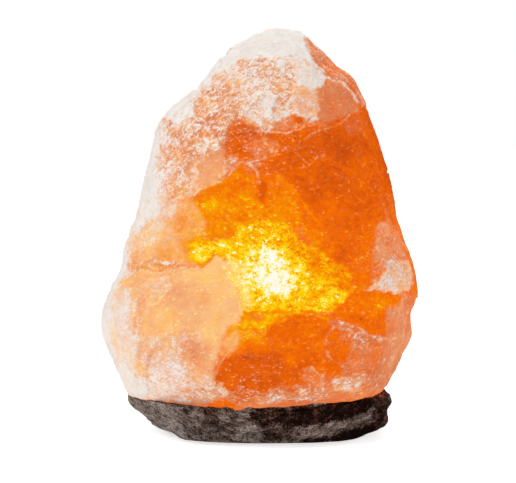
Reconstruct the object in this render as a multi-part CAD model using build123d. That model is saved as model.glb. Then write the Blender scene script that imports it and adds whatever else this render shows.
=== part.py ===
from build123d import *
import math
import os

import numpy as np

# Salt crystal lamp: a rough block of pink rock salt, drilled from below for a small screw-cap
# filament bulb, standing in the shallow dish of a dark hewn base. A black lampholder with a sprung
# clip is pushed up through the base into the drilled hole and carries the bulb.
#
# Millimetres, +Z up, +X to the viewer's right, -Y towards the viewer. The origin is at table level
# under the middle of the lamp's outline, on the drilled hole's axis.

os.makedirs("parts", exist_ok=True)

# ------------------------------------------------------------------ driving sizes
HOLE_R = 23.0            # drilled hole in salt and base
SALT_Z0 = 15.5           # salt's flat underside, on the dish floor
HOLE_TOP = 128.0         # end of the drilled hole's straight wall
HOLE_TIP = 133.0         # end of its tapered tip
HOLE_TIP_R = 12.0
BASE_Z0 = 1.5            # underside of the stone base, on its pads
FOOT_R, FOOT_H = 6.0, 1.5
FEET = [(-28.0, 30.0), (28.0, 30.0), (-34.0, -24.0), (34.0, -24.0)]
SCREWS = [(32.0, 11.6), (-32.0, 11.6), (0.0, -34.0)]   # three screws through the base into the salt
SCREW_R, SCREW_HEAD_R = 2.0, 3.8
SCREW_HOLE_R, COUNTERBORE_R, COUNTERBORE_Z = 2.4, 5.2, 7.0
PLUG_R, PLUG_L = 4.0, 22.0
CHANNEL_W, CHANNEL_TOP = 9.0, 10.0                      # groove for the cord, underside to rear edge

BODY_R = 13.4            # lampholder barrel
HOLDER_Z0, HOLDER_SPLIT, HOLDER_TOP = 14.0, 22.0, 58.0
FLANGE_R, FLANGE_Z0, FLANGE_Z1 = 16.0, 44.0, 47.0
CORD_R, CORD_BOSS_R, CORD_Z0, CORD_Z1 = 3.6, 6.0, 10.0, 16.5
SHELL_RI, SHELL_RO, SHELL_Z0, SHELL_Z1 = 7.25, 7.65, 36.0, 52.5
FLOOR_Z0, FLOOR_Z1 = 31.0, 34.0
CLIP_T = 0.8             # clip plate
LEAF_T, LEAF_W = 0.5, 10.0
LEAF_ROLL = (20.6, 45.8, 0.45)   # rolled root of each clip leaf: x, z, radius; the leaf swings about its centre
LEAF_PATH = [(20.6, 45.8), (21.2, 43.6), (21.8, 39.5), (21.65, 35.0), (20.4, 30.0), (19.0, 26.6), (19.3, 24.4)]

CAP_R, CAP_ROOT_R, CAP_Z0, CAP_Z1 = 6.9, 6.35, 39.2, 53.0   # E14 lamp cap
CAP_SKIRT_R, CAP_TOP = 8.3, 60.5
GLASS_T = 0.6


# ------------------------------------------------------------------ rough shapes
def lerp(table, z):
    zs = [row[0] for row in table]
    return [float(np.interp(z, zs, [row[i] for row in table])) for i in range(1, len(table[0]))]


def wobble(a, b, seed):
    """A smooth, repeatable number from -1 to 1."""
    return (math.sin(1.7 * a + 2.3 * b + seed) + math.sin(2.9 * a - 1.3 * b + 2.1 * seed)
            + math.sin(-1.1 * a + 3.7 * b + 0.7 * seed)) / 3.0


def ring_xy(left, right, front, back, n, phi):
    """A point of a rounded oblong whose four half widths differ. phi is 0 at +X and 90 at +Y."""
    c, s = math.cos(phi), math.sin(phi)
    a = right if c > 0 else left
    b = back if s > 0 else front
    return (math.copysign(abs(c) ** (2.0 / n), c) * a, math.copysign(abs(s) ** (2.0 / n), s) * b)


def solid_from(points, faces):
    shell = Shell([Face(Wire.make_polygon([Vector(*points[i]) for i in f], close=True)) for f in faces])
    made = Solid(shell)
    if made.volume < 0:
        made = Solid(made.wrapped.Reversed())
    return made


def stack(rings, closed_top=None):
    """A closed body from rings of equal length, with a flat polygon below and a point or polygon above."""
    points = [p for ring in rings for p in ring]
    n = len(rings[0])
    faces = [tuple(reversed(range(n)))]
    for j in range(len(rings) - 1):
        for i in range(n):
            a, b = j * n + i, j * n + (i + 1) % n
            c, d = b + n, a + n
            p, q, r, s = (np.array(points[k]) for k in (a, b, c, d))
            # the diagonal that leaves the body the fuller of the two
            if np.dot(np.cross(q - p, r - p), s - p) < 0:
                faces += [(a, b, c), (a, c, d)]
            else:
                faces += [(a, b, d), (b, c, d)]
    top = (len(rings) - 1) * n
    if closed_top is None:
        faces.append(tuple(range(top, top + n)))
    else:
        points.append(closed_top)
        tip = len(points) - 1
        faces += [(top + i, top + (i + 1) % n, tip) for i in range(n)]
    return solid_from(points, faces)


# ------------------------------------------------------------------ salt crystal
# height, then half widths: left, right, front, back
SALT = [
    (15.5, 59.5, 56.5, 49.0, 48.0),
    (18.5, 62.4, 59.4, 51.2, 50.2),
    (21.5, 67.4, 63.6, 54.6, 53.6),
    (24.0, 70.6, 66.8, 57.2, 56.2),
    (27.7, 73.6, 70.4, 59.4, 58.2),
    (32.0, 76.1, 72.0, 61.0, 59.8),
    (36.2, 77.2, 74.5, 62.2, 61.2),
    (40.4, 79.2, 75.6, 63.2, 62.6),
    (48.9, 82.3, 80.2, 64.6, 64.4),
    (57.3, 83.0, 79.6, 65.4, 65.6),
    (61.5, 83.0, 79.6, 65.6, 66.0),
    (65.7, 82.2, 81.6, 65.6, 66.2),
    (69.9, 80.0, 83.0, 65.2, 66.0),
    (74.1, 78.4, 82.9, 64.6, 65.6),
    (82.5, 73.7, 82.0, 63.6, 64.4),
    (90.9, 71.6, 79.9, 62.6, 63.0),
    (99.3, 69.9, 76.7, 61.6, 61.8),
    (107.6, 65.7, 73.5, 60.6, 60.6),
    (120.1, 62.5, 70.8, 59.0, 58.4),
    (128.4, 61.4, 69.2, 57.8, 56.6),
    (136.7, 58.8, 67.1, 56.2, 54.6),
    (145.0, 56.7, 64.5, 54.0, 52.4),
    (153.3, 54.6, 61.8, 51.4, 49.8),
    (161.6, 51.9, 58.7, 48.4, 46.8),
    (169.8, 45.2, 56.0, 44.8, 43.6),
    (178.1, 34.3, 52.4, 40.4, 39.8),
    (186.3, 26.6, 47.2, 35.0, 35.0),
    (194.5, 21.4, 36.8, 28.0, 28.6),
    (202.7, 10.0, 28.1, 18.0, 19.0),
    (206.8, 3.3, 23.9, 12.0, 12.5),
]
SALT_APEX = (12.3, 1.0, 210.6)
SALT_BACK = 0.9765       # trims the back so that the outline's middle is the origin
SALT_RINGS = [15.5, 18.5, 21.5, 27.7, 34.5, 42.0, 50.5, 60.0, 69.9, 74.5, 83.0, 92.0, 101.0, 107.6, 118.0, 128.4,
              138.0, 147.0, 155.0, 162.0, 169.8, 178.1, 186.3, 194.5, 202.7, 206.8]
# The crystal's standing edges, going round from the right: fractions of the half widths, low and high
SALT_EDGES = [
    ((1.00, 0.10), (1.00, 0.06)), ((0.95, 0.45), (0.93, 0.42)), ((0.80, 0.76), (0.76, 0.72)),
    ((0.50, 0.97), (0.46, 0.95)), ((0.14, 1.00), (0.10, 1.00)), ((-0.20, 0.97), (-0.26, 0.93)),
    ((-0.54, 0.88), (-0.58, 0.78)), ((-0.82, 0.64), (-0.84, 0.52)), ((-0.97, 0.32), (-0.96, 0.24)),
    ((-1.00, -0.04), (-1.00, -0.04)), ((-0.96, -0.34), (-0.94, -0.32)), ((-0.83, -0.64), (-0.80, -0.60)),
    ((-0.56, -0.86), (-0.52, -0.84)), ((-0.22, -0.97), (-0.18, -0.98)), ((0.14, -1.00), (0.18, -1.00)),
    ((0.48, -0.98), (0.52, -0.90)), ((0.74, -0.86), (0.74, -0.70)), ((0.885, -0.62), (0.89, -0.46)),
    ((0.965, -0.24), (0.965, -0.20)),
]
# Front face: how far each band is pushed in, at the left, middle and right of the face
SALT_FRONT = [(15.5, 1.0, 1.0, 1.0), (42.0, 1.0, 1.0, 0.99), (62.0, 1.0, 0.985, 0.985), (76.0, 0.985, 0.95, 0.99),
              (92.0, 0.95, 0.925, 0.965), (108.0, 0.955, 0.925, 0.94), (124.0, 0.985, 0.945, 0.935),
              (140.0, 1.0, 0.975, 0.94), (160.0, 1.0, 1.0, 0.96), (190.0, 1.0, 1.0, 1.0), (210.0, 1.0, 1.0, 1.0)]
# Flats where flakes have split off: the face's outward direction, and how deep it cuts
SALT_FLATS = [
    ((0.72, 0.66, 0.22), 3.0), ((-0.66, 0.70, 0.28), 3.4), ((0.10, 0.97, 0.20), 2.2), ((-0.30, 0.94, -0.20), 2.4),
    ((0.55, 0.82, -0.16), 2.4), ((-0.80, 0.42, 0.42), 3.0), ((0.45, 0.62, 0.64), 3.6), ((-0.25, 0.72, 0.64), 3.2),
    ((0.12, -0.80, 0.59), 1.8), ((-0.42, -0.72, 0.55), 2.6), ((0.60, -0.58, 0.55), 2.0), ((-0.72, -0.66, -0.20), 2.4),
    ((0.84, 0.40, -0.36), 1.8), ((-0.74, 0.58, -0.34), 2.6), ((0.30, -0.93, -0.20), 1.4), ((-0.62, -0.76, 0.18), 2.2),
]


def salt_ring(z):
    left, right, front, back = lerp(SALT, z)
    back *= SALT_BACK
    high = min(1.0, max(0.0, (z - 40.0) / 130.0))
    f_left, f_mid, f_right = lerp(SALT_FRONT, z)
    calm = min(1.0, max(0.0, (z - 18.6) / 12.0)) * min(1.0, (210.0 - z) / 24.0)
    ring = []
    for i, (low, top) in enumerate(SALT_EDGES):
        fx, fy = (a + (b - a) * high for a, b in zip(low, top))
        x = fx * (right if fx > 0 else left)
        y = fy * (back if fy > 0 else front)
        if fy < -0.2:
            y *= float(np.interp(fx, [-0.7, 0.1, 0.75], [f_left, f_mid, f_right]))
        tuck = 1 - 0.10 * abs(fx * fy) * min(1.0, max(0.0, (26.0 - z) / 6.0))    # corners drawn in, inside the dish
        x, y = x * tuck, y * tuck
        free = (1 - abs(fx) ** 6) * calm
        y += 2.6 * free * wobble(i * 1.9, z / 17.0, 2.2)
        x += 1.8 * free * (1 - abs(fx)) * wobble(i * 2.7, z / 14.0, 7.1)
        ring.append((x, y, z))
    return ring


salt_rings = [salt_ring(z) for z in SALT_RINGS]
salt = stack(salt_rings, SALT_APEX)
cloud = np.array([p for ring in salt_rings for p in ring] + [SALT_APEX])
for direction, depth in SALT_FLATS:
    n = np.array(direction) / np.linalg.norm(direction)
    reach = float((cloud @ n).max()) - depth
    at = n * reach
    salt -= Plane(origin=tuple(at), z_dir=tuple(n)) * Box(400, 400, 60, align=(Align.CENTER, Align.CENTER, Align.MIN))
salt -= Pos(0, 0, SALT_Z0 - 5) * Cylinder(HOLE_R, HOLE_TOP - SALT_Z0 + 5, align=(Align.CENTER, Align.CENTER, Align.MIN))
salt -= Pos(0, 0, HOLE_TOP) * Cone(HOLE_R, HOLE_TIP_R, HOLE_TIP - HOLE_TOP, align=(Align.CENTER, Align.CENTER, Align.MIN))
for x, y in SCREWS:
    salt -= Pos(x, y, SALT_Z0 - 1) * Cylinder(PLUG_R, PLUG_L + 1, align=(Align.CENTER, Align.CENTER, Align.MIN))

# ------------------------------------------------------------------ hewn base
BASE_COLUMNS = 26
# height, then half widths: left, right, front, back
BASE = [
    (1.5, 50.0, 61.0, 46.0, 45.0),
    (3.6, 56.4, 65.6, 49.0, 48.0),
    (7.6, 61.2, 67.4, 52.4, 50.8),
    (11.8, 65.8, 67.8, 54.8, 52.8),
    (16.0, 69.0, 69.4, 56.8, 54.8),
    (18.6, 69.6, 69.6, 57.2, 55.2),
]
BASE_TOP = (68.8, 68.2, 56.2, 54.2)      # half widths of the rim's outer top edge
DISH_TOP = (66.0, 65.4, 53.8, 52.6)      # the dish where it meets the rim
DISH_FLOOR = (63.6, 62.6, 52.0, 50.8)
BASE_FLATS = [((-0.62, -0.60, -0.50), 2.2), ((-0.20, -0.90, -0.38), 1.6), ((0.50, -0.80, -0.34), 1.4),
              ((-0.70, 0.52, -0.48), 2.4), ((0.14, 0.88, -0.45), 1.8), ((0.70, 0.62, -0.36), 2.0), ((0.30, -0.95, 0.10), 0.8)]


def base_ring(widths, z, rough, lift=0.0):
    left, right, front, back = widths
    ring = []
    for i in range(BASE_COLUMNS):
        phi = 2 * math.pi * i / BASE_COLUMNS
        side = abs(math.cos(phi)) ** 6
        x, y = ring_xy(left, right, front, back, 2.6, phi)
        swell = 1 + rough * wobble(math.cos(phi) * 3.1 + z / 9.0, math.sin(phi) * 3.4, 5.2) * (1 - side)
        tilt = lift * (0.55 * math.cos(phi) + 0.5 * wobble(2.0 * math.cos(phi), 2.0 * math.sin(phi), 3.3))
        ring.append((x * swell if side < 0.5 else x, y * swell, z + tilt))
    return ring


base_rings = [base_ring(row[1:], row[0], 0.018) for row in BASE] + [base_ring(BASE_TOP, 20.3, 0.018, 1.2)]
base = stack(base_rings, (0.0, 0.0, 20.2))
cloud = np.array([p for ring in base_rings for p in ring])
for direction, depth in BASE_FLATS:
    n = np.array(direction) / np.linalg.norm(direction)
    at = n * (float((cloud @ n).max()) - depth)
    base -= Plane(origin=tuple(at), z_dir=tuple(n)) * Box(300, 300, 40, align=(Align.CENTER, Align.CENTER, Align.MIN))
# The dish: its wall leans outwards from the floor to the rim
base -= stack([base_ring(DISH_FLOOR, SALT_Z0, 0.010), base_ring(DISH_TOP, 20.5, 0.010), base_ring(DISH_TOP, 26.0, 0.010)])
base -= Pos(0, 0, -1) * Cylinder(HOLE_R, 30, align=(Align.CENTER, Align.CENTER, Align.MIN))
base -= Pos(0, 45, (CHANNEL_TOP - 5) / 2.0) * Box(CHANNEL_W, 60, CHANNEL_TOP + 5)
for x, y in SCREWS:
    base -= Pos(x, y, 0) * Cylinder(SCREW_HOLE_R, 30, align=(Align.CENTER, Align.CENTER, Align.MIN))
    base -= Pos(x, y, 0) * Cylinder(COUNTERBORE_R, COUNTERBORE_Z, align=(Align.CENTER, Align.CENTER, Align.MIN))

foot = chamfer(Cylinder(FOOT_R, FOOT_H, align=(Align.CENTER, Align.CENTER, Align.MIN)).edges().sort_by(Axis.Z)[0], 0.3)
feet = [Pos(x, y, 0) * foot for x, y in FEET]


# ------------------------------------------------------------------ turned parts
def turned(*profile):
    """A body of revolution about Z from its half section's corners, (radius, height)."""
    return revolve(make_face(Polyline(*[(r, 0, z) for r, z in profile], close=True)), Axis.Z)


def rod(r, z0, z1, x=0.0, y=0.0):
    return Pos(x, y, z0) * Cylinder(r, z1 - z0, align=(Align.CENTER, Align.CENTER, Align.MIN))


def block(x0, x1, y0, y1, z0, z1):
    return Pos((x0 + x1) / 2, (y0 + y1) / 2, (z0 + z1) / 2) * Box(x1 - x0, y1 - y0, z1 - z0)


def wire(points, r, bend):
    path = FilletPolyline(*points, radius=bend)
    start = points[0]
    nxt = points[1]
    plane = Plane(origin=start, z_dir=Vector(*nxt) - Vector(*start))
    return sweep(plane * Circle(r), path=path)


# screws into the salt: pan head in the counterbore, shank in the plug
screw_z = COUNTERBORE_Z - 1.0                  # under the washer
screws, washers, plugs = [], [], []
for x, y in SCREWS:
    s = turned((0, screw_z - 2.6), (2.6, screw_z - 2.6), (3.5, screw_z - 1.9), (SCREW_HEAD_R, screw_z - 0.6),
               (SCREW_HEAD_R, screw_z), (SCREW_R, screw_z), (SCREW_R, 31.0), (0.5, 34.0), (0, 34.0))
    s -= block(-3.2, 3.2, -0.45, 0.45, screw_z - 3, screw_z - 1.4)
    s -= block(-0.45, 0.45, -3.2, 3.2, screw_z - 3, screw_z - 1.4)
    screws.append(Pos(x, y, 0) * s)
    washers.append(Pos(x, y, 0) * turned((2.3, screw_z), (4.8, screw_z), (4.8, COUNTERBORE_Z), (2.3, COUNTERBORE_Z)))
    p = turned((2.05, SALT_Z0 + 0.2), (PLUG_R - 0.05, SALT_Z0 + 0.2), (PLUG_R - 0.05, SALT_Z0 + PLUG_L - 3.0),
               (2.6, SALT_Z0 + PLUG_L - 0.5), (0, SALT_Z0 + PLUG_L - 0.5), (0, 34.4), (2.05, 34.4))
    p -= block(-0.5, 0.5, -6, 6, SALT_Z0 + 6, SALT_Z0 + 15)
    plugs.append(Pos(x, y, 0) * p)

# ------------------------------------------------------------------ lampholder
threads = []
z = FLANGE_Z1 + 1.4
body_profile = [(11.7, HOLDER_SPLIT), (BODY_R, HOLDER_SPLIT), (BODY_R, FLANGE_Z0), (FLANGE_R, FLANGE_Z0), (FLANGE_R, FLANGE_Z1)]
body_profile += [(BODY_R - 0.5, FLANGE_Z1)]
while z < HOLDER_TOP - 1.4:
    body_profile += [(BODY_R - 0.5, z - 0.7), (BODY_R, z - 0.25), (BODY_R, z + 0.25), (BODY_R - 0.5, z + 0.7)]
    z += 2.0
body_profile += [(BODY_R - 0.5, HOLDER_TOP - 0.4), (BODY_R - 0.9, HOLDER_TOP), (9.6, HOLDER_TOP), (9.2, HOLDER_TOP - 0.4),
                 (9.2, SHELL_Z1 + 0.6), (SHELL_RO + 0.05, SHELL_Z1 + 0.6), (SHELL_RO + 0.05, FLOOR_Z1), (2.0, FLOOR_Z1),
                 (2.0, FLOOR_Z0), (11.7, FLOOR_Z0)]
holder_body = turned(*body_profile)
holder_body -= block(-7.4, -5.4, -2.2, 2.2, FLOOR_Z0 - 1, FLOOR_Z1 + 1)       # slot for the centre contact's leg
holder_body -= block(5.6, 7.4, -1.9, 1.9, FLOOR_Z0 - 1, FLOOR_Z1 + 1)         # slot for the shell's leg
for i in range(12):                                                            # grip flutes on the barrel
    a = math.radians(30 * i + 15)
    holder_body -= rod(1.1, HOLDER_SPLIT + 2, FLANGE_Z0 - 4, (BODY_R + 0.55) * math.cos(a), (BODY_R + 0.55) * math.sin(a))

holder_cap = turned((CORD_R, CORD_Z0), (CORD_BOSS_R - 0.6, CORD_Z0), (CORD_BOSS_R, CORD_Z0 + 0.6), (CORD_BOSS_R, HOLDER_Z0),
                    (11.2, HOLDER_Z0), (BODY_R, HOLDER_Z0 + 2.2), (BODY_R, HOLDER_SPLIT), (11.6, HOLDER_SPLIT),
                    (11.6, HOLDER_SPLIT + 3.6), (10.2, HOLDER_SPLIT + 3.6), (10.2, CORD_Z1), (CORD_R, CORD_Z1))

# entry clamp: a saddle held by two small screws inside the cap, over the cord entry
grip = block(-7.0, 7.0, -2.6, 2.6, 17.6, 20.4) - rod(2.9, 17, 21, 0, -3.4)
grip -= rod(1.25, 17, 21, -5.2, 0) + rod(1.25, 17, 21, 5.2, 0)
grip_screws = []
for x in (-5.2, 5.2):
    g = turned((0, CORD_Z1 + 0.1), (1.1, CORD_Z1 + 0.1), (1.1, 20.5), (2.1, 20.5), (2.1, 21.4), (1.5, 21.9), (0, 21.9))
    g -= block(-2.4, 2.4, -0.3, 0.3, 21.3, 22.2)
    grip_screws.append(Pos(x, 0, 0) * g)

# screw shell with its inward flange and leg
shell = turned((SHELL_RI, SHELL_Z0), (SHELL_RO, SHELL_Z0), (SHELL_RO, SHELL_Z1 - 0.4), (SHELL_RO + 0.0, SHELL_Z1),
               (SHELL_RI, SHELL_Z1))
shell += turned((5.9, FLOOR_Z1 + 0.02), (SHELL_RO, FLOOR_Z1 + 0.02), (SHELL_RO, SHELL_Z0), (SHELL_RI, SHELL_Z0),
                (SHELL_RI, FLOOR_Z1 + 0.5), (5.9, FLOOR_Z1 + 0.5)) - block(-9, -5.0, -3.2, 3.2, 33, 36)
shell += block(6.1, 6.9, -1.7, 1.7, 27.6, FLOOR_Z1 + 0.4)

# centre contact: a leaf that rises under the lamp's tip
leaf = block(-7.0, -5.0, -2.0, 2.0, FLOOR_Z1 + 0.05, FLOOR_Z1 + 0.4)
leaf += extrude(make_face(Polyline((-5.6, -1.8, FLOOR_Z1 + 0.05), (-5.0, -1.8, FLOOR_Z1 + 0.05), (-1.4, -1.8, FLOOR_Z1 + 1.3),
                                   (1.6, -1.8, FLOOR_Z1 + 1.3), (2.2, -1.8, FLOOR_Z1 + 1.0), (2.4, -1.8, FLOOR_Z1 + 1.3),
                                   (1.7, -1.8, FLOOR_Z1 + 1.62), (-1.5, -1.8, FLOOR_Z1 + 1.62), (-5.0, -1.8, FLOOR_Z1 + 0.4),
                                   (-5.6, -1.8, FLOOR_Z1 + 0.4), close=True)), amount=3.6, dir=(0, 1, 0))
leaf += block(-7.0, -6.4, -2.0, 2.0, 30.9, FLOOR_Z1 + 0.4)

terminals, terminal_screws = [], []
for sign in (-1, 1):
    b = block(sign * 3.6, sign * 8.2, -2.6, 2.6, 25.0, 30.8) if sign > 0 else block(-8.2, -3.6, -2.6, 2.6, 25.0, 30.8)
    slot = block(6.0, 7.0, -1.8, 1.8, 27.4, 31) if sign > 0 else block(-7.1, -6.3, -2.1, 2.1, 30.7, 31)
    b -= slot
    b -= rod(1.2, 24, 30.0, sign * 4.9, 0)                                     # wire hole from below
    b -= Pos(sign * 4.9, -2.7, 28.8) * Rot(-90, 0, 0) * Cylinder(0.95, 2.6, align=(Align.CENTER, Align.CENTER, Align.MIN))
    terminals.append(b)
    t = Pos(sign * 4.9, -3.4, 28.8) * Rot(-90, 0, 0) * Cylinder(0.9, 3.0, align=(Align.CENTER, Align.CENTER, Align.MIN))
    t += Pos(sign * 4.9, -3.8, 28.8) * Rot(-90, 0, 0) * Cylinder(1.5, 1.0, align=(Align.CENTER, Align.CENTER, Align.MIN))
    t -= block(sign * 4.9 - 1.6, sign * 4.9 + 1.6, -4.0, -3.5, 28.55, 29.05)
    terminal_screws.append(t)

# clip plate clamped on the flange by a threaded ring
clip_plate = turned((BODY_R + 0.2, FLANGE_Z1), (17.0, FLANGE_Z1), (17.0, FLANGE_Z1 + CLIP_T), (BODY_R + 0.2, FLANGE_Z1 + CLIP_T))
for sign in (-1, 1):
    x0, x1 = sorted((sign * 15.5, sign * 20.6))
    clip_plate += block(x0, x1, -LEAF_W / 2, LEAF_W / 2, FLANGE_Z1, FLANGE_Z1 + CLIP_T)
    x0, x1 = sorted((sign * 20.35, sign * 20.85))       # turned-down lip that the spring leaf hangs from
    clip_plate += block(x0, x1, -LEAF_W / 2, LEAF_W / 2, 46.3, FLANGE_Z1 + CLIP_T)
ring_z0 = FLANGE_Z1 + CLIP_T
clamp_ring = turned((BODY_R + 0.08, ring_z0), (16.6, ring_z0), (16.6, ring_z0 + 4.0), (16.2, ring_z0 + 4.6),
                    (BODY_R + 0.5, ring_z0 + 4.6), (BODY_R + 0.08, ring_z0 + 4.2))
for i in range(24):
    a = math.radians(15 * i)
    clamp_ring -= rod(0.55, ring_z0 - 1, ring_z0 + 5, 16.85 * math.cos(a), 16.85 * math.sin(a))


def strip(path, thick, width):
    """A bent strip: the path offset both ways by half its thickness, given its width along Y."""
    p = np.array(path, float)
    d = np.diff(p, axis=0)
    d /= np.linalg.norm(d, axis=1)[:, None]
    nrm = np.stack([-d[:, 1], d[:, 0]], axis=1)
    at = [nrm[0]] + [(nrm[i] + nrm[i + 1]) / (1 + nrm[i] @ nrm[i + 1]) for i in range(len(nrm) - 1)] + [nrm[-1]]
    at = np.array(at) * thick / 2
    loop = [tuple(v) for v in p + at] + [tuple(v) for v in (p - at)[::-1]]
    face = make_face(Polyline(*[(x, -width / 2, z) for x, z in loop], close=True))
    return extrude(face, amount=width, dir=(0, 1, 0))


leaf_right = strip(LEAF_PATH, LEAF_T, LEAF_W) + Pos(LEAF_ROLL[0], 0, LEAF_ROLL[1]) * Rot(90, 0, 0) * Cylinder(LEAF_ROLL[2], LEAF_W)
leaf_left = (strip([(-x, z) for x, z in LEAF_PATH], LEAF_T, LEAF_W)
             + Pos(-LEAF_ROLL[0], 0, LEAF_ROLL[1]) * Rot(90, 0, 0) * Cylinder(LEAF_ROLL[2], LEAF_W))

# ------------------------------------------------------------------ bulb
tip = turned((0, 36.0), (1.6, 36.0), (2.5, 36.5), (2.7, 37.2), (2.7, 37.65), (1.5, 37.65), (1.5, 39.4), (0, 39.4))
insulator = turned((1.55, 37.7), (3.2, 37.7), (5.9, CAP_Z0 + 0.3), (5.9, CAP_Z0 + 1.6), (0, CAP_Z0 + 1.6), (0, 39.6), (1.55, 39.6))
cap_profile = [(6.0, CAP_Z0), (CAP_ROOT_R, CAP_Z0)]
zc = CAP_Z0 + 1.2
while zc < CAP_Z1 - 1.0:
    cap_profile += [(CAP_ROOT_R, zc - 0.9), (CAP_R, zc - 0.35), (CAP_R, zc + 0.35), (CAP_ROOT_R, zc + 0.9)]
    zc += 2.822
cap_profile += [(CAP_ROOT_R, CAP_Z1), (CAP_SKIRT_R, CAP_Z1 + 1.6), (CAP_SKIRT_R, CAP_TOP), (CAP_SKIRT_R - 0.35, CAP_TOP),
                (CAP_SKIRT_R - 0.35, CAP_Z1 + 1.8), (6.0, CAP_Z1 + 0.2)]
bulb_cap = turned(*cap_profile)

outer = [(7.6, 55.8), (7.6, 62.0), (8.2, 66.0), (10.4, 73.0), (12.6, 80.0), (13.7, 86.0), (14.0, 92.0), (13.6, 97.5),
         (12.2, 103.0), (9.6, 107.6), (6.2, 110.6), (3.0, 111.8), (0, 112.2)]
outer_line = [Polyline((outer[0][0], 0, outer[0][1]), (outer[1][0], 0, outer[1][1])),
              Spline(*[(r, 0, z) for r, z in outer[1:]], tangents=((0, 0, 1), (-1, 0, 0)))]
inner = [(7.0, 55.8), (7.0, 62.0), (7.6, 66.1), (9.8, 73.2), (12.0, 80.1), (13.1, 86.1), (13.4, 92.0), (13.0, 97.3),
         (11.7, 102.6), (9.2, 107.0), (6.0, 110.0), (2.9, 111.2), (0, 111.6)]
inner_line = [Polyline((inner[0][0], 0, inner[0][1]), (inner[1][0], 0, inner[1][1])),
              Spline(*[(r, 0, z) for r, z in inner[1:]], tangents=((0, 0, 1), (-1, 0, 0)))]
ends = [Line((outer[0][0], 0, outer[0][1]), (inner[0][0], 0, inner[0][1])), Line((0, 0, outer[-1][1]), (0, 0, inner[-1][1]))]
glass = revolve(make_face(outer_line + inner_line + ends), Axis.Z)

stem = turned((0, 62.5), (2.2, 62.5), (6.6, 56.6), (6.85, 56.6), (6.85, 57.4), (3.4, 64.5), (2.7, 68.0), (2.7, 74.0), (0, 74.0))
stem += block(-3.6, 3.6, -1.1, 1.1, 73.0, 79.0)
lead_wires = [wire([(s * 2.4, 0, 79.0), (s * 2.6, 0, 82.5), (s * 7.4, 0, 88.0), (s * 7.6, 0, 91.0)], 0.32, 1.0) for s in (-1, 1)]
supports = [wire([(s * 0.8, 0, 79.0), (s * 0.9, 0, 84.0), (s * 3.2, 0, 91.4)], 0.16, 1.0) for s in (-1, 1)]
filament = sweep(Plane(origin=(-7.6, 0, 91.4), z_dir=(1, 0, 0.45)) * Circle(0.38),
                 path=ThreePointArc((-7.6, 0, 91.4), (0, 0, 93.4), (7.6, 0, 91.4)))

# ------------------------------------------------------------------ write
PARTS = {
    "salt_crystal": salt,
    "hewn_base": base,
    "foot_pads": feet,
    "salt_screws": screws,
    "screw_washers": washers,
    "screw_plugs": plugs,
    "lampholder_body": holder_body,
    "lampholder_cap": holder_cap,
    "entry_clamp": grip,
    "entry_clamp_screws": grip_screws,
    "screw_shell": shell,
    "contact_leaf": leaf,
    "terminal_blocks": terminals,
    "terminal_screws": terminal_screws,
    "clip_plate": clip_plate,
    "clamp_ring": clamp_ring,
    "clip_leaf_left": leaf_left,
    "clip_leaf_right": leaf_right,
    "bulb_tip": tip,
    "bulb_insulator": insulator,
    "bulb_cap": bulb_cap,
    "bulb_glass": glass,
    "bulb_stem": stem,
    "bulb_lead_wires": lead_wires,
    "filament_supports": supports,
    "bulb_filament": filament,
}
for name, part in PARTS.items():
    solids = []
    for piece in (part if isinstance(part, list) else [part]):
        solids += list(piece.solids())
    export_step(solids[0] if len(solids) == 1 else Compound(children=solids), f"parts/{name}.step")
print(len(PARTS), "nodes; salt", round(salt.volume / 1e6, 3), "litres")
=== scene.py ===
import math

import bmesh
import bpy
import numpy as np
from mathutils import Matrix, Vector


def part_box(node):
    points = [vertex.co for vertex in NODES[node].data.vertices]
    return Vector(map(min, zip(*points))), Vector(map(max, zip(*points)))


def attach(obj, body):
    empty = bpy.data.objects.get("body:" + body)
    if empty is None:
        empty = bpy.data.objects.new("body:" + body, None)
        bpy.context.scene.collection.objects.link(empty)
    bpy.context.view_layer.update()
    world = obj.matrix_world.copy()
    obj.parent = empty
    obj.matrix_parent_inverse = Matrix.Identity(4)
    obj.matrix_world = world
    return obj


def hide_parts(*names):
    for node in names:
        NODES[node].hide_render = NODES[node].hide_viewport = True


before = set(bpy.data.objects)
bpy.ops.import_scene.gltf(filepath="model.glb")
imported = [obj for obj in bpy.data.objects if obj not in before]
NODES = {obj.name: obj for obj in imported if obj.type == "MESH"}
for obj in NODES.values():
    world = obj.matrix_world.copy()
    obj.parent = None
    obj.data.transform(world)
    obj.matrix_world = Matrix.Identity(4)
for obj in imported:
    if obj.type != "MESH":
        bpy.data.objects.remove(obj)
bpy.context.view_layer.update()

scene = bpy.context.scene
MM = 0.001

# ------------------------------------------------------------------ camera, at the photograph's angle
ELEVATION = math.radians(5.5)
DISTANCE, LOOK_Z, LOOK_X = 1.0, 0.099, -0.00078
FOCAL_PX = 1923.08            # pixels, for a picture 516 wide
SE, CE = math.sin(ELEVATION), math.cos(ELEVATION)

cam = bpy.data.cameras.new("camera")
cam.sensor_width = 36.0
cam.lens = FOCAL_PX * 36.0 / 516.0
cam.clip_start, cam.clip_end = 0.05, 20.0
cam_ob = bpy.data.objects.new("camera", cam)
cam_ob.location = (LOOK_X, -DISTANCE * CE, LOOK_Z + DISTANCE * SE)
cam_ob.rotation_euler = (math.radians(90) - ELEVATION, 0, 0)
scene.collection.objects.link(cam_ob)
scene.camera = cam_ob


def to_picture(p):
    """Where points (millimetres) fall in the 516 by 483 picture."""
    x, y, z = p[:, 0], p[:, 1], p[:, 2]
    dz = z - LOOK_Z * 1000
    depth = DISTANCE * 1000 + y * CE - dz * SE
    u = 258.0 + FOCAL_PX * (x - LOOK_X * 1000) / depth
    v = 241.5 - FOCAL_PX * (y * SE + dz * CE) / depth
    return u, v


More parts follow.
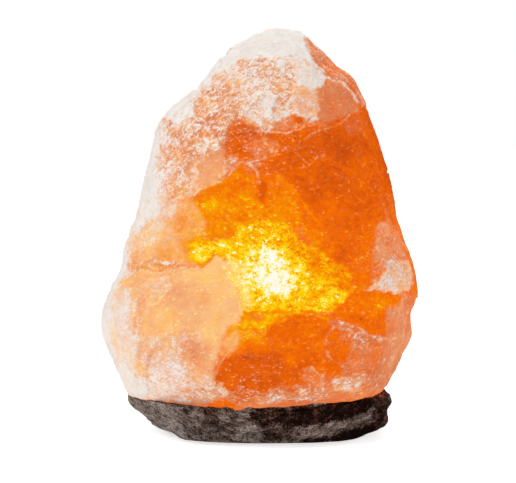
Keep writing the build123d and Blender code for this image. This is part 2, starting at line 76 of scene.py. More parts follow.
# ------------------------------------------------------------------ noise and shape helpers, all seeded
def smooth(a, b, x):
    t = np.clip((x - a) / (b - a), 0, 1)
    return t * t * (3 - 2 * t)


def hashed(ix, iy, iz, seed):
    h = (ix.astype(np.int64) * 73856093) ^ (iy.astype(np.int64) * 19349663) ^ (iz.astype(np.int64) * 83492791) ^ (seed * 2654435761)
    h &= 0xFFFFFFFF
    h = (h ^ (h >> 16)) * 0x45D9F3B & 0xFFFFFFFF
    h = (h ^ (h >> 16)) * 0x45D9F3B & 0xFFFFFFFF
    return h ^ (h >> 16)


def grad_noise(p, size, seed):
    """Gradient noise, about -1 to 1, with features of the given size in millimetres."""
    q = p / size
    i = np.floor(q).astype(np.int64)
    f = q - i
    w = f * f * f * (f * (f * 6 - 15) + 10)
    out = np.zeros(len(p))
    for dx in (0, 1):
        for dy in (0, 1):
            for dz in (0, 1):
                h = hashed(i[:, 0] + dx, i[:, 1] + dy, i[:, 2] + dz, seed)
                a = (h & 1023) / 1023.0 * 2 * math.pi
                c = ((h >> 10) & 1023) / 511.5 - 1
                s = np.sqrt(np.maximum(0, 1 - c * c))
                dot = s * np.cos(a) * (f[:, 0] - dx) + s * np.sin(a) * (f[:, 1] - dy) + c * (f[:, 2] - dz)
                wx = w[:, 0] if dx else 1 - w[:, 0]
                wy = w[:, 1] if dy else 1 - w[:, 1]
                wz = w[:, 2] if dz else 1 - w[:, 2]
                out += dot * wx * wy * wz
    return out * 1.5


def fbm(p, size, seed, octaves=4, fall=0.5):
    total, amp, out = 0.0, 1.0, np.zeros(len(p))
    for k in range(octaves):
        out += amp * grad_noise(p, size / 2 ** k, seed + 17 * k)
        total += amp
        amp *= fall
    return out / total * 1.6


def cells(p, size, seed):
    """Distance to the nearest and second nearest random point, in cell sizes, and the nearest one's number."""
    q = p / size
    i = np.floor(q).astype(np.int64)
    f1 = np.full(len(p), 9.0)
    f2 = np.full(len(p), 9.0)
    who = np.zeros(len(p), np.int64)
    for dx in (-1, 0, 1):
        for dy in (-1, 0, 1):
            for dz in (-1, 0, 1):
                c = i + (dx, dy, dz)
                h = hashed(c[:, 0], c[:, 1], c[:, 2], seed)
                at = c + np.stack([(h & 1023), (h >> 10) & 1023, (h >> 20) & 1023], 1) / 1023.0
                d = np.sqrt(((q - at) ** 2).sum(1))
                near = d < f1
                f2 = np.where(near, f1, np.minimum(f2, d))
                who = np.where(near, h, who)
                f1 = np.where(near, d, f1)
    return f1, f2, who


def polygon_distance(u, v, poly):
    """Signed distance to a closed outline in the picture plane, negative inside."""
    pts = np.array(poly, float)
    best = np.full(len(u), 1e9)
    inside = np.zeros(len(u), bool)
    for (x0, y0), (x1, y1) in zip(pts, np.roll(pts, -1, 0)):
        ex, ey = x1 - x0, y1 - y0
        t = np.clip(((u - x0) * ex + (v - y0) * ey) / (ex * ex + ey * ey + 1e-9), 0, 1)
        best = np.minimum(best, np.hypot(u - x0 - t * ex, v - y0 - t * ey))
        cross = ((y0 > v) != (y1 > v)) & (u < (x1 - x0) * (v - y0) / (y1 - y0 + 1e-12) + x0)
        inside ^= cross
    return np.where(inside, -best, best)


def line_distance(u, v, pts):
    pts = np.array(pts, float)
    best = np.full(len(u), 1e9)
    for (x0, y0), (x1, y1) in zip(pts[:-1], pts[1:]):
        ex, ey = x1 - x0, y1 - y0
        t = np.clip(((u - x0) * ex + (v - y0) * ey) / (ex * ex + ey * ey + 1e-9), 0, 1)
        best = np.minimum(best, np.hypot(u - x0 - t * ex, v - y0 - t * ey))
    return best


def fit_outline(p, rows, band=4.0, reach=55.0, most=4.5):
    """Moves the flanks along X so that the outline seen from the front keeps its stated left and right edge in each row."""
    u, v = to_picture(p)
    rows = np.array(rows, float)
    at = np.arange(rows[0, 0], rows[-1, 0] + 0.1, band)
    left, right = np.interp(at, rows[:, 0], rows[:, 1]), np.interp(at, rows[:, 0], rows[:, 2])
    dl, dr = np.zeros(len(at)), np.zeros(len(at))
    for k, row in enumerate(at):
        near = np.abs(v - row) < band * 0.5 + 0.3
        if near.sum() > 8:
            dl[k] = left[k] - u[near].min()
            dr[k] = right[k] - u[near].max()
    soft = np.array([0.25, 0.5, 0.25])
    dl = np.convolve(np.pad(dl, 1, mode="edge"), soft, "valid")
    dr = np.convolve(np.pad(dr, 1, mode="edge"), soft, "valid")
    wl = np.clip(1 - (u - np.interp(v, at, left)) / reach, 0, 1) ** 1.5
    wr = np.clip(1 - (np.interp(v, at, right) - u) / reach, 0, 1) ** 1.5
    shift = (np.interp(v, at, dl) * wl + np.interp(v, at, dr) * wr) * (DISTANCE * 1000 + p[:, 1]) / FOCAL_PX
    return np.clip(shift, -most, most)


def get_co(me):
    co = np.empty(len(me.vertices) * 3, np.float32)
    me.vertices.foreach_get("co", co)
    return co.reshape(-1, 3).astype(float)


def get_no(me):
    no = np.empty(len(me.vertices) * 3, np.float32)
    me.vertices.foreach_get("normal", no)
    return no.reshape(-1, 3).astype(float)


def set_co(me, co):
    me.vertices.foreach_set("co", co.astype(np.float32).ravel())
    me.update()


def edges_of(me):
    e = np.empty(len(me.edges) * 2, np.int32)
    me.edges.foreach_get("vertices", e)
    return e.reshape(-1, 2)


def relax(values, edges, times, share=0.5):
    """Averages a field with its neighbours on the mesh."""
    n = len(values)
    count = np.bincount(edges.ravel(), minlength=n).astype(float)
    count[count == 0] = 1
    out = values.astype(float).copy()
    flat = out.ndim == 1
    if flat:
        out = out[:, None]
    for _ in range(times):
        new = np.empty_like(out)
        for k in range(out.shape[1]):
            acc = np.bincount(edges[:, 0], out[edges[:, 1], k], minlength=n) + np.bincount(edges[:, 1], out[edges[:, 0], k], minlength=n)
            new[:, k] = acc / count
        out += share * (new - out)
    return out[:, 0] if flat else out


def remeshed(node, voxel, name):
    """A fine even mesh of a CAD node's solid, as a new object."""
    me = NODES[node].data.copy()
    bm = bmesh.new()
    bm.from_mesh(me)
    bmesh.ops.remove_doubles(bm, verts=bm.verts, dist=1e-6)
    bm.to_mesh(me)
    bm.free()
    ob = bpy.data.objects.new(name + "_tmp", me)
    scene.collection.objects.link(ob)
    mod = ob.modifiers.new("remesh", "REMESH")
    mod.mode = "VOXEL"
    mod.voxel_size = voxel
    mod.adaptivity = 0.0
    bpy.context.view_layer.update()
    done = bpy.data.meshes.new_from_object(ob.evaluated_get(bpy.context.evaluated_depsgraph_get()))
    bpy.data.objects.remove(ob)
    bpy.data.meshes.remove(me)
    done.name = name
    done.materials.clear()
    out = bpy.data.objects.new(name, done)
    scene.collection.objects.link(out)
    done.polygons.foreach_set("use_smooth", [True] * len(done.polygons))
    return out


def put_field(me, name, values):
    a = me.attributes.new(name, "FLOAT", "POINT")
    a.data.foreach_set("value", np.asarray(values, np.float32))


def facets(p, nrm, spacing, tilt, depth, seed, reach=1.5):
    """Cuts the surface back to random flats, like a stone with flakes struck off. Returns how far in each point goes."""
    rng = np.random.default_rng(seed)
    order = rng.permutation(len(p))
    pool = order[: min(len(order), 6000)]
    chosen, blocked = [], np.zeros(len(pool), bool)
    pts = p[pool]
    for k, i in enumerate(pool):
        if blocked[k]:
            continue
        chosen.append(i)
        blocked |= ((pts - p[i]) ** 2).sum(1) < spacing ** 2
    s = p[chosen]
    n = nrm[chosen] + rng.normal(0, tilt, (len(chosen), 3))
    n /= np.linalg.norm(n, axis=1)[:, None]
    dep = rng.uniform(depth[0], depth[1], len(chosen))
    cut = np.zeros(len(p))
    sn, ss = (s * n).sum(1), (s * s).sum(1)
    for a in range(0, len(p), 20000):
        q = p[a:a + 20000]
        d2 = (q * q).sum(1)[:, None] - 2 * (q @ s.T) + ss[None]
        over = q @ n.T - sn[None] + dep[None]
        facing = nrm[a:a + 20000] @ n.T
        over = np.where((d2 < (spacing * reach) ** 2) & (facing > 0.5), over / np.maximum(facing, 0.5), 0)
        cut[a:a + 20000] = np.maximum(0, over.max(1))
    return cut


# ------------------------------------------------------------------ material helper
def lin(r, g, b):
    """A colour given as 0 to 255 sRGB, as linear values with alpha."""
    out = []
    for c in (r, g, b):
        c /= 255.0
        out.append(c / 12.92 if c <= 0.04045 else ((c + 0.055) / 1.055) ** 2.4)
    return (*out, 1.0)


class Mat:
    """One Principled material, with its node tree built by short calls."""

    def __init__(self, name, **plain):
        self.m = bpy.data.materials.new(name)
        self.m.use_nodes = True
        self.t = self.m.node_tree
        self.t.nodes.clear()
        self.p = self.t.nodes.new("ShaderNodeBsdfPrincipled")
        out = self.t.nodes.new("ShaderNodeOutputMaterial")
        self.t.links.new(self.p.outputs[0], out.inputs[0])
        self.coord = self.t.nodes.new("ShaderNodeTexCoord").outputs["Object"]
        for k, v in plain.items():
            self.p.inputs[k.replace("_", " ")].default_value = v

    def feed(self, socket, value):
        if isinstance(value, bpy.types.NodeSocket):
            self.t.links.new(value, socket)
        elif value is not None:
            socket.default_value = value

    def to(self, **links):
        for k, v in links.items():
            self.feed(self.p.inputs[k.replace("_", " ")], v)
        return self

    def calc(self, op, a, b=None, c=None, clamp=False):
        n = self.t.nodes.new("ShaderNodeMath")
        n.operation, n.use_clamp = op, clamp
        for s, v in zip(n.inputs, (a, b, c)):
            self.feed(s, v)
        return n.outputs[0]

    def vec(self, op, a, b=None):
        n = self.t.nodes.new("ShaderNodeVectorMath")
        n.operation = op
        self.feed(n.inputs[0], a)
        if b is not None:
            self.feed(n.inputs[1], b)
        return n.outputs[0]

    def mix(self, f, a, b, mode="MIX"):
        n = self.t.nodes.new("ShaderNodeMix")
        n.data_type, n.blend_type = "RGBA", mode
        self.feed(n.inputs[0], f)
        self.feed(n.inputs[6], a)
        self.feed(n.inputs[7], b)
        return n.outputs[2]

    def noise(self, scale, detail=4.0, rough=0.55, warp=0.0, vector=None, out=0):
        n = self.t.nodes.new("ShaderNodeTexNoise")
        self.feed(n.inputs["Vector"], vector or self.coord)
        n.inputs["Scale"].default_value = scale
        n.inputs["Detail"].default_value = detail
        n.inputs["Roughness"].default_value = rough
        n.inputs["Distortion"].default_value = warp
        return n.outputs[out]

    def voronoi(self, scale, feature="F1", vector=None, rand=1.0, out=0):
        n = self.t.nodes.new("ShaderNodeTexVoronoi")
        n.feature = feature
        self.feed(n.inputs["Vector"], vector or self.coord)
        n.inputs["Scale"].default_value = scale
        n.inputs["Randomness"].default_value = rand
        return n.outputs[out]

    def warped(self, scale, amount, detail=3.0):
        """Object coordinates pushed about by noise; amount in metres."""
        colour = self.noise(scale, detail, out=1)
        return self.vec("ADD", self.coord, self.vec("MULTIPLY", self.vec("SUBTRACT", colour, (0.5, 0.5, 0.5)), (amount,) * 3))

    def attr(self, name):
        n = self.t.nodes.new("ShaderNodeAttribute")
        n.attribute_name = name
        return n.outputs["Fac"]

    def span(self, value, a, b, c=0.0, d=1.0, kind="SMOOTHSTEP"):
        n = self.t.nodes.new("ShaderNodeMapRange")
        n.interpolation_type = kind
        self.feed(n.inputs[0], value)
        for i, v in enumerate((a, b, c, d)):
            self.feed(n.inputs[i + 1], v)
        return n.outputs[0]

    def ramp(self, value, stops, kind="LINEAR"):
        n = self.t.nodes.new("ShaderNodeValToRGB")
        n.color_ramp.interpolation = kind
        e = n.color_ramp.elements
        while len(e) < len(stops):
            e.new(0.5)
        for slot, (at, colour) in zip(e, stops):
            slot.position = at
            slot.color = colour if len(colour) == 4 else lin(*colour)
        self.feed(n.inputs[0], value)
        return n.outputs[0]

    def bump(self, height, strength, distance, under=None):
        n = self.t.nodes.new("ShaderNodeBump")
        n.inputs["Strength"].default_value = strength
        n.inputs["Distance"].default_value = distance
        self.feed(n.inputs["Height"], height)
        if under is not None:
            self.feed(n.inputs["Normal"], under)
        return n.outputs[0]


def dress(ob, mat):
    """Puts a material in every slot of an object."""
    m = mat.m if isinstance(mat, Mat) else mat
    if not ob.data.materials:
        ob.data.materials.append(m)
    for s in ob.material_slots:
        s.material = m


# ------------------------------------------------------------------ salt crystal: shape
salt = remeshed("salt_crystal", 0.0008, "salt_block")
me = salt.data
P = get_co(me) * 1000
edges = edges_of(me)
N = get_no(me)
radius = np.hypot(P[:, 0], P[:, 1])
hole = (radius < 23.5) & (P[:, 2] < 133.6)
floor_face = P[:, 2] < 16.0
plug_hole = np.zeros(len(P), bool)
for sx, sy in ((32.0, 11.6), (-32.0, 11.6), (0.0, -34.0)):
    plug_hole |= (np.hypot(P[:, 0] - sx, P[:, 1] - sy) < 4.6) & (P[:, 2] < 38.5)
skin = ~(hole | floor_face | plug_hole)
low_fade = smooth(17.5, 25.0, P[:, 2])

# soften the solid's flats, then strike new ones
soft = relax(P, edges, 26)
P = np.where((skin & (P[:, 2] > 17.5))[:, None], P + (soft - P) * smooth(17.5, 22, P[:, 2])[:, None], P)
P[:, 0] *= np.where(P[:, 0] > 0, 83.0 / P[:, 0].max(), -83.0 / P[:, 0].min())
set_co(me, P / 1000)
NS = get_no(me)
NS = relax(NS, edges, 30)
NS /= np.linalg.norm(NS, axis=1)[:, None] + 1e-9
view_dir = np.stack([(LOOK_X * 1000 - P[:, 0]), (-DISTANCE * 1000 * CE - P[:, 1]), (LOOK_Z * 1000 + DISTANCE * 1000 * SE - P[:, 2])], 1)
view_dir /= np.linalg.norm(view_dir, axis=1)[:, None]
facing = (NS * view_dir).sum(1)
front = np.maximum(smooth(-0.44, -0.10, facing + 0.26 * fbm(P, 13.0, 71, 3)), smooth(-0.06, 0.02, facing)) * skin
U, V = to_picture(P)

# ragged picture-plane coordinates, so that drawn edges break like crystal
rag_u = 3.0 * fbm(P, 9.0, 11) + 2.2 * fbm(P, 2.6, 12, 3)
rag_v = 3.0 * fbm(P, 9.0, 13) + 2.2 * fbm(P, 2.6, 14, 3)
UR, VR = U + rag_u, V + rag_v

# ledges and hollows on the face in the photograph: outline, height in mm, edge width in px
LEDGES = [
    # the frosted cap's flat and the face beyond its ridge
    ([(306, 25), (309, 48), (314, 66), (328, 76), (345, 84), (362, 110), (380, 110), (350, 60), (320, 30)], -1.6, 3.0),
    # frosted patch, standing proud with a broken lower edge
    ([(240, 80), (262, 76), (296, 86), (316, 90), (318, 105), (318, 118), (300, 119), (284, 117), (270, 122), (258, 131), (247, 120), (239, 104)], 1.5, 2.0),
    ([(293, 71), (312, 69), (322, 68), (328, 76), (325, 86), (314, 89), (299, 88)], 0.9, 1.5),
    # smooth flat to its right
    ([(317, 90), (330, 79), (346, 86), (358, 98), (362, 113), (350, 118), (334, 124), (319, 122)], -1.3, 2.0),
    # upper left mass with its overhanging lower edge
    ([(120, 100), (190, 90), (236, 112), (226, 131), (221, 144), (224, 156), (240, 160), (232, 168), (222, 180), (212, 187), (199, 197), (176, 214), (150, 222), (120, 230)], 2.0, 2.2),
    ([(222, 142), (228, 128), (240, 120), (256, 126), (262, 140), (256, 152), (244, 158), (228, 158)], -1.6, 2.0),
    ([(254, 141), (268, 137), (279, 143), (276, 153), (262, 158), (252, 155)], 0.7, 1.5),
    # light lobe below the mass
    ([(200, 196), (222, 182), (240, 173), (257, 183), (272, 176), (289, 187), (301, 201), (311, 220), (300, 232), (262, 220), (236, 234), (196, 240), (184, 220)], -0.9, 2.0),
    # crackled hollow
    ([(192, 244), (210, 237), (236, 236), (246, 224), (268, 219), (286, 224), (300, 244), (316, 250), (346, 268), (356, 284), (350, 302), (320, 315), (288, 317), (252, 320), (238, 300), (226, 262), (200, 264)], -2.6, 3.0),
    # lower left lobe
    ([(90, 300), (118, 290), (140, 286), (165, 275), (184, 269), (203, 266), (216, 258), (229, 256), (236, 266), (238, 284), (243, 306), (250, 322), (238, 336), (226, 350), (216, 368), (214, 400), (90, 420)], 2.4, 2.0),
    # lower middle lobe
    ([(252, 324), (284, 317), (312, 313), (345, 321), (368, 332), (384, 339), (384, 420), (214, 420), (215, 384), (222, 362), (240, 340)], 0.8, 2.5),
    ([(300, 374), (310, 367), (320, 376), (324, 390), (318, 402), (300, 403)], 0.8, 1.2),
    # step at the right, with the bright patch above it
    ([(366, 226), (384, 216), (400, 240), (406, 262), (404, 288), (362, 289)], 1.4, 1.2),
    ([(348, 290), (398, 289), (396, 312), (384, 332), (352, 322), (344, 306)], -1.4, 1.8),
]
lift = np.zeros(len(P))
for outline, height, width in LEDGES:
    d = polygon_distance(UR, VR, outline)
    lift += height * smooth(width, -width, d) * front

# long creases
CREASES = [
    ([(222, 179), (231, 168), (241, 161), (249, 163), (255, 171), (258, 183)], -0.7, 1.3),
    ([(297, 163), (304, 167), (310, 160), (315, 156)], -0.5, 1.1),
    ([(325, 76), (345, 86), (356, 98), (362, 113), (368, 140), (375, 165), (384, 195), (393, 225), (402, 252), (407, 278)], 0.9, 2.2),
    ([(335, 322), (360, 331), (380, 339), (402, 338)], 0.5, 1.5),
    ([(300, 25), (306, 42), (310, 60), (314, 70)], 0.8, 2.0),
]
for pts, height, width in CREASES:
    lift += height * np.exp(-(line_distance(UR, VR, pts) / width) ** 2) * front

keep_side = 1 - 0.75 * np.abs(NS[:, 0]) ** 3          # the outline in the photograph is kept
mass = fbm(P, 34.0, 3, 3)
lump = fbm(P, 13.0, 4, 3)
sugar = smooth(-0.25, 0.5, fbm(P, 26.0, 21, 2))
fine = fbm(P, 3.2, 5, 3)
move = 1.3 * mass * keep_side + 0.55 * lump * keep_side + (0.10 + 0.16 * sugar) * fine
move -= (1 - front * 0.55) * facets(P, NS, 21.0, 0.16, (-0.2, 1.8), 5) * keep_side
move -= 0.75 * facets(P, NS, 8.5, 0.13, (-0.15, 0.45), 6) * (0.45 + 0.55 * sugar)
# splits: steps across warped cell borders
w1 = P + 5.0 * np.stack([fbm(P, 22.0, 31, 2), fbm(P, 22.0, 32, 2), fbm(P, 22.0, 33, 2)], 1)
f1, f2, who = cells(w1, 31.0, 7)
split = np.exp(-((f2 - f1) * 31.0 / 1.5) ** 2)
step = ((who >> 5) & 255) / 255.0 - 0.5
move += (1.6 * step * smooth(0.0, 0.10, f2 - f1) - 0.45 * split) * (1 - 0.8 * front) * keep_side
move += lift * 0.95
P = np.where(skin[:, None], P + NS * (move * low_fade)[:, None], P)
# the outline in the photograph: row, left edge, right edge
OUTLINE = [(26, 277, 287), (33, 253, 305), (41, 240, 313), (49, 228, 322), (57, 219, 330), (65, 212, 338), (73, 208, 350), (81, 201, 357),
           (89, 193, 360), (97, 181, 364), (105, 172, 367), (113, 164, 369), (121, 159, 372), (129, 155, 375), (137, 154, 378),
           (153, 150, 383), (169, 146, 388), (185, 142, 392), (201, 139, 395), (217, 135, 397), (233, 128, 403), (241, 125, 405),
           (249, 123, 409), (257, 122, 412), (265, 121, 414), (273, 118, 416), (281, 113, 417), (289, 109, 418), (297, 106, 418),
           (305, 103, 415), (313, 101, 411), (321, 101, 411), (329, 101, 412), (337, 102, 412), (345, 105, 409), (353, 108, 404),
           (361, 112, 401), (369, 115, 397), (377, 119, 393), (385, 124, 388)]
for _ in range(2):
    P[:, 0] += np.where(skin, fit_outline(P, OUTLINE), 0) * smooth(20.0, 30.0, P[:, 2])
# stay within the solid's box and clear of the base
P[:, 0] = np.clip(P[:, 0], -83.0, 83.0)
P[:, 1] = np.clip(P[:, 1], -65.2, 65.2)
P[:, 2] = np.clip(P[:, 2], 15.5, 210.55)
U, V = to_picture(P)
P[:, 2] += 1.7 * smooth(302, 320, U) * smooth(366, 354, U) * smooth(29, 18, P[:, 2]) * smooth(-34, -44, P[:, 1])
set_co(me, P / 1000)
N = get_no(me)
U, V = to_picture(P)
UR, VR = U + rag_u, V + rag_v

# ------------------------------------------------------------------ salt crystal: how light comes through
# deep: how far the bulb's light has come through clear salt, 0 white hot to 1.3 dark red orange
# milk: how cloudy the salt is; frost: how white and sugary its skin is; grain: how coarse
CORE = np.array([6.0, -4.0, 90.0])
far = np.linalg.norm((P - CORE) * (1.0, 1.0, 0.86), axis=1)
deep = 0.10 + 0.60 * smooth(56, 82, far) + 0.22 * smooth(84, 130, far)
deep += 0.16 * mass + 0.10 * lump + 0.34 * step * smooth(0.0, 0.06, f2 - f1)
# milk and frost also carry painted light: faces turned to the left, towards the key light, are painted milkier and
# whiter, and faces turned to the right less white
milk = 0.42 + 0.55 * (((who >> 13) & 255) / 255.0 - 0.5) + 0.35 * fbm(P, 30.0, 41, 2) + 0.25 * smooth(0.3, -0.9, NS[:, 0])
frost = (-0.15 + 0.75 * smooth(135, 205, P[:, 2]) + 0.36 * smooth(0.35, 1.0, -NS[:, 0]) + 0.4 * smooth(50, 22, P[:, 2]) * smooth(-0.2, 0.6, fbm(P, 24.0, 43, 2))
         + 0.72 * fbm(P, 26.0, 42, 4) - 0.25 * smooth(0.3, 1.0, NS[:, 0]))
frost += 0.35 * split
grain = 0.22 + 0.5 * sugar * smooth(0.7, -0.2, NS[:, 0])
crackle = smooth(0.1, 0.5, fbm(P, 30.0, 45, 2)) * smooth(84, 64, far)

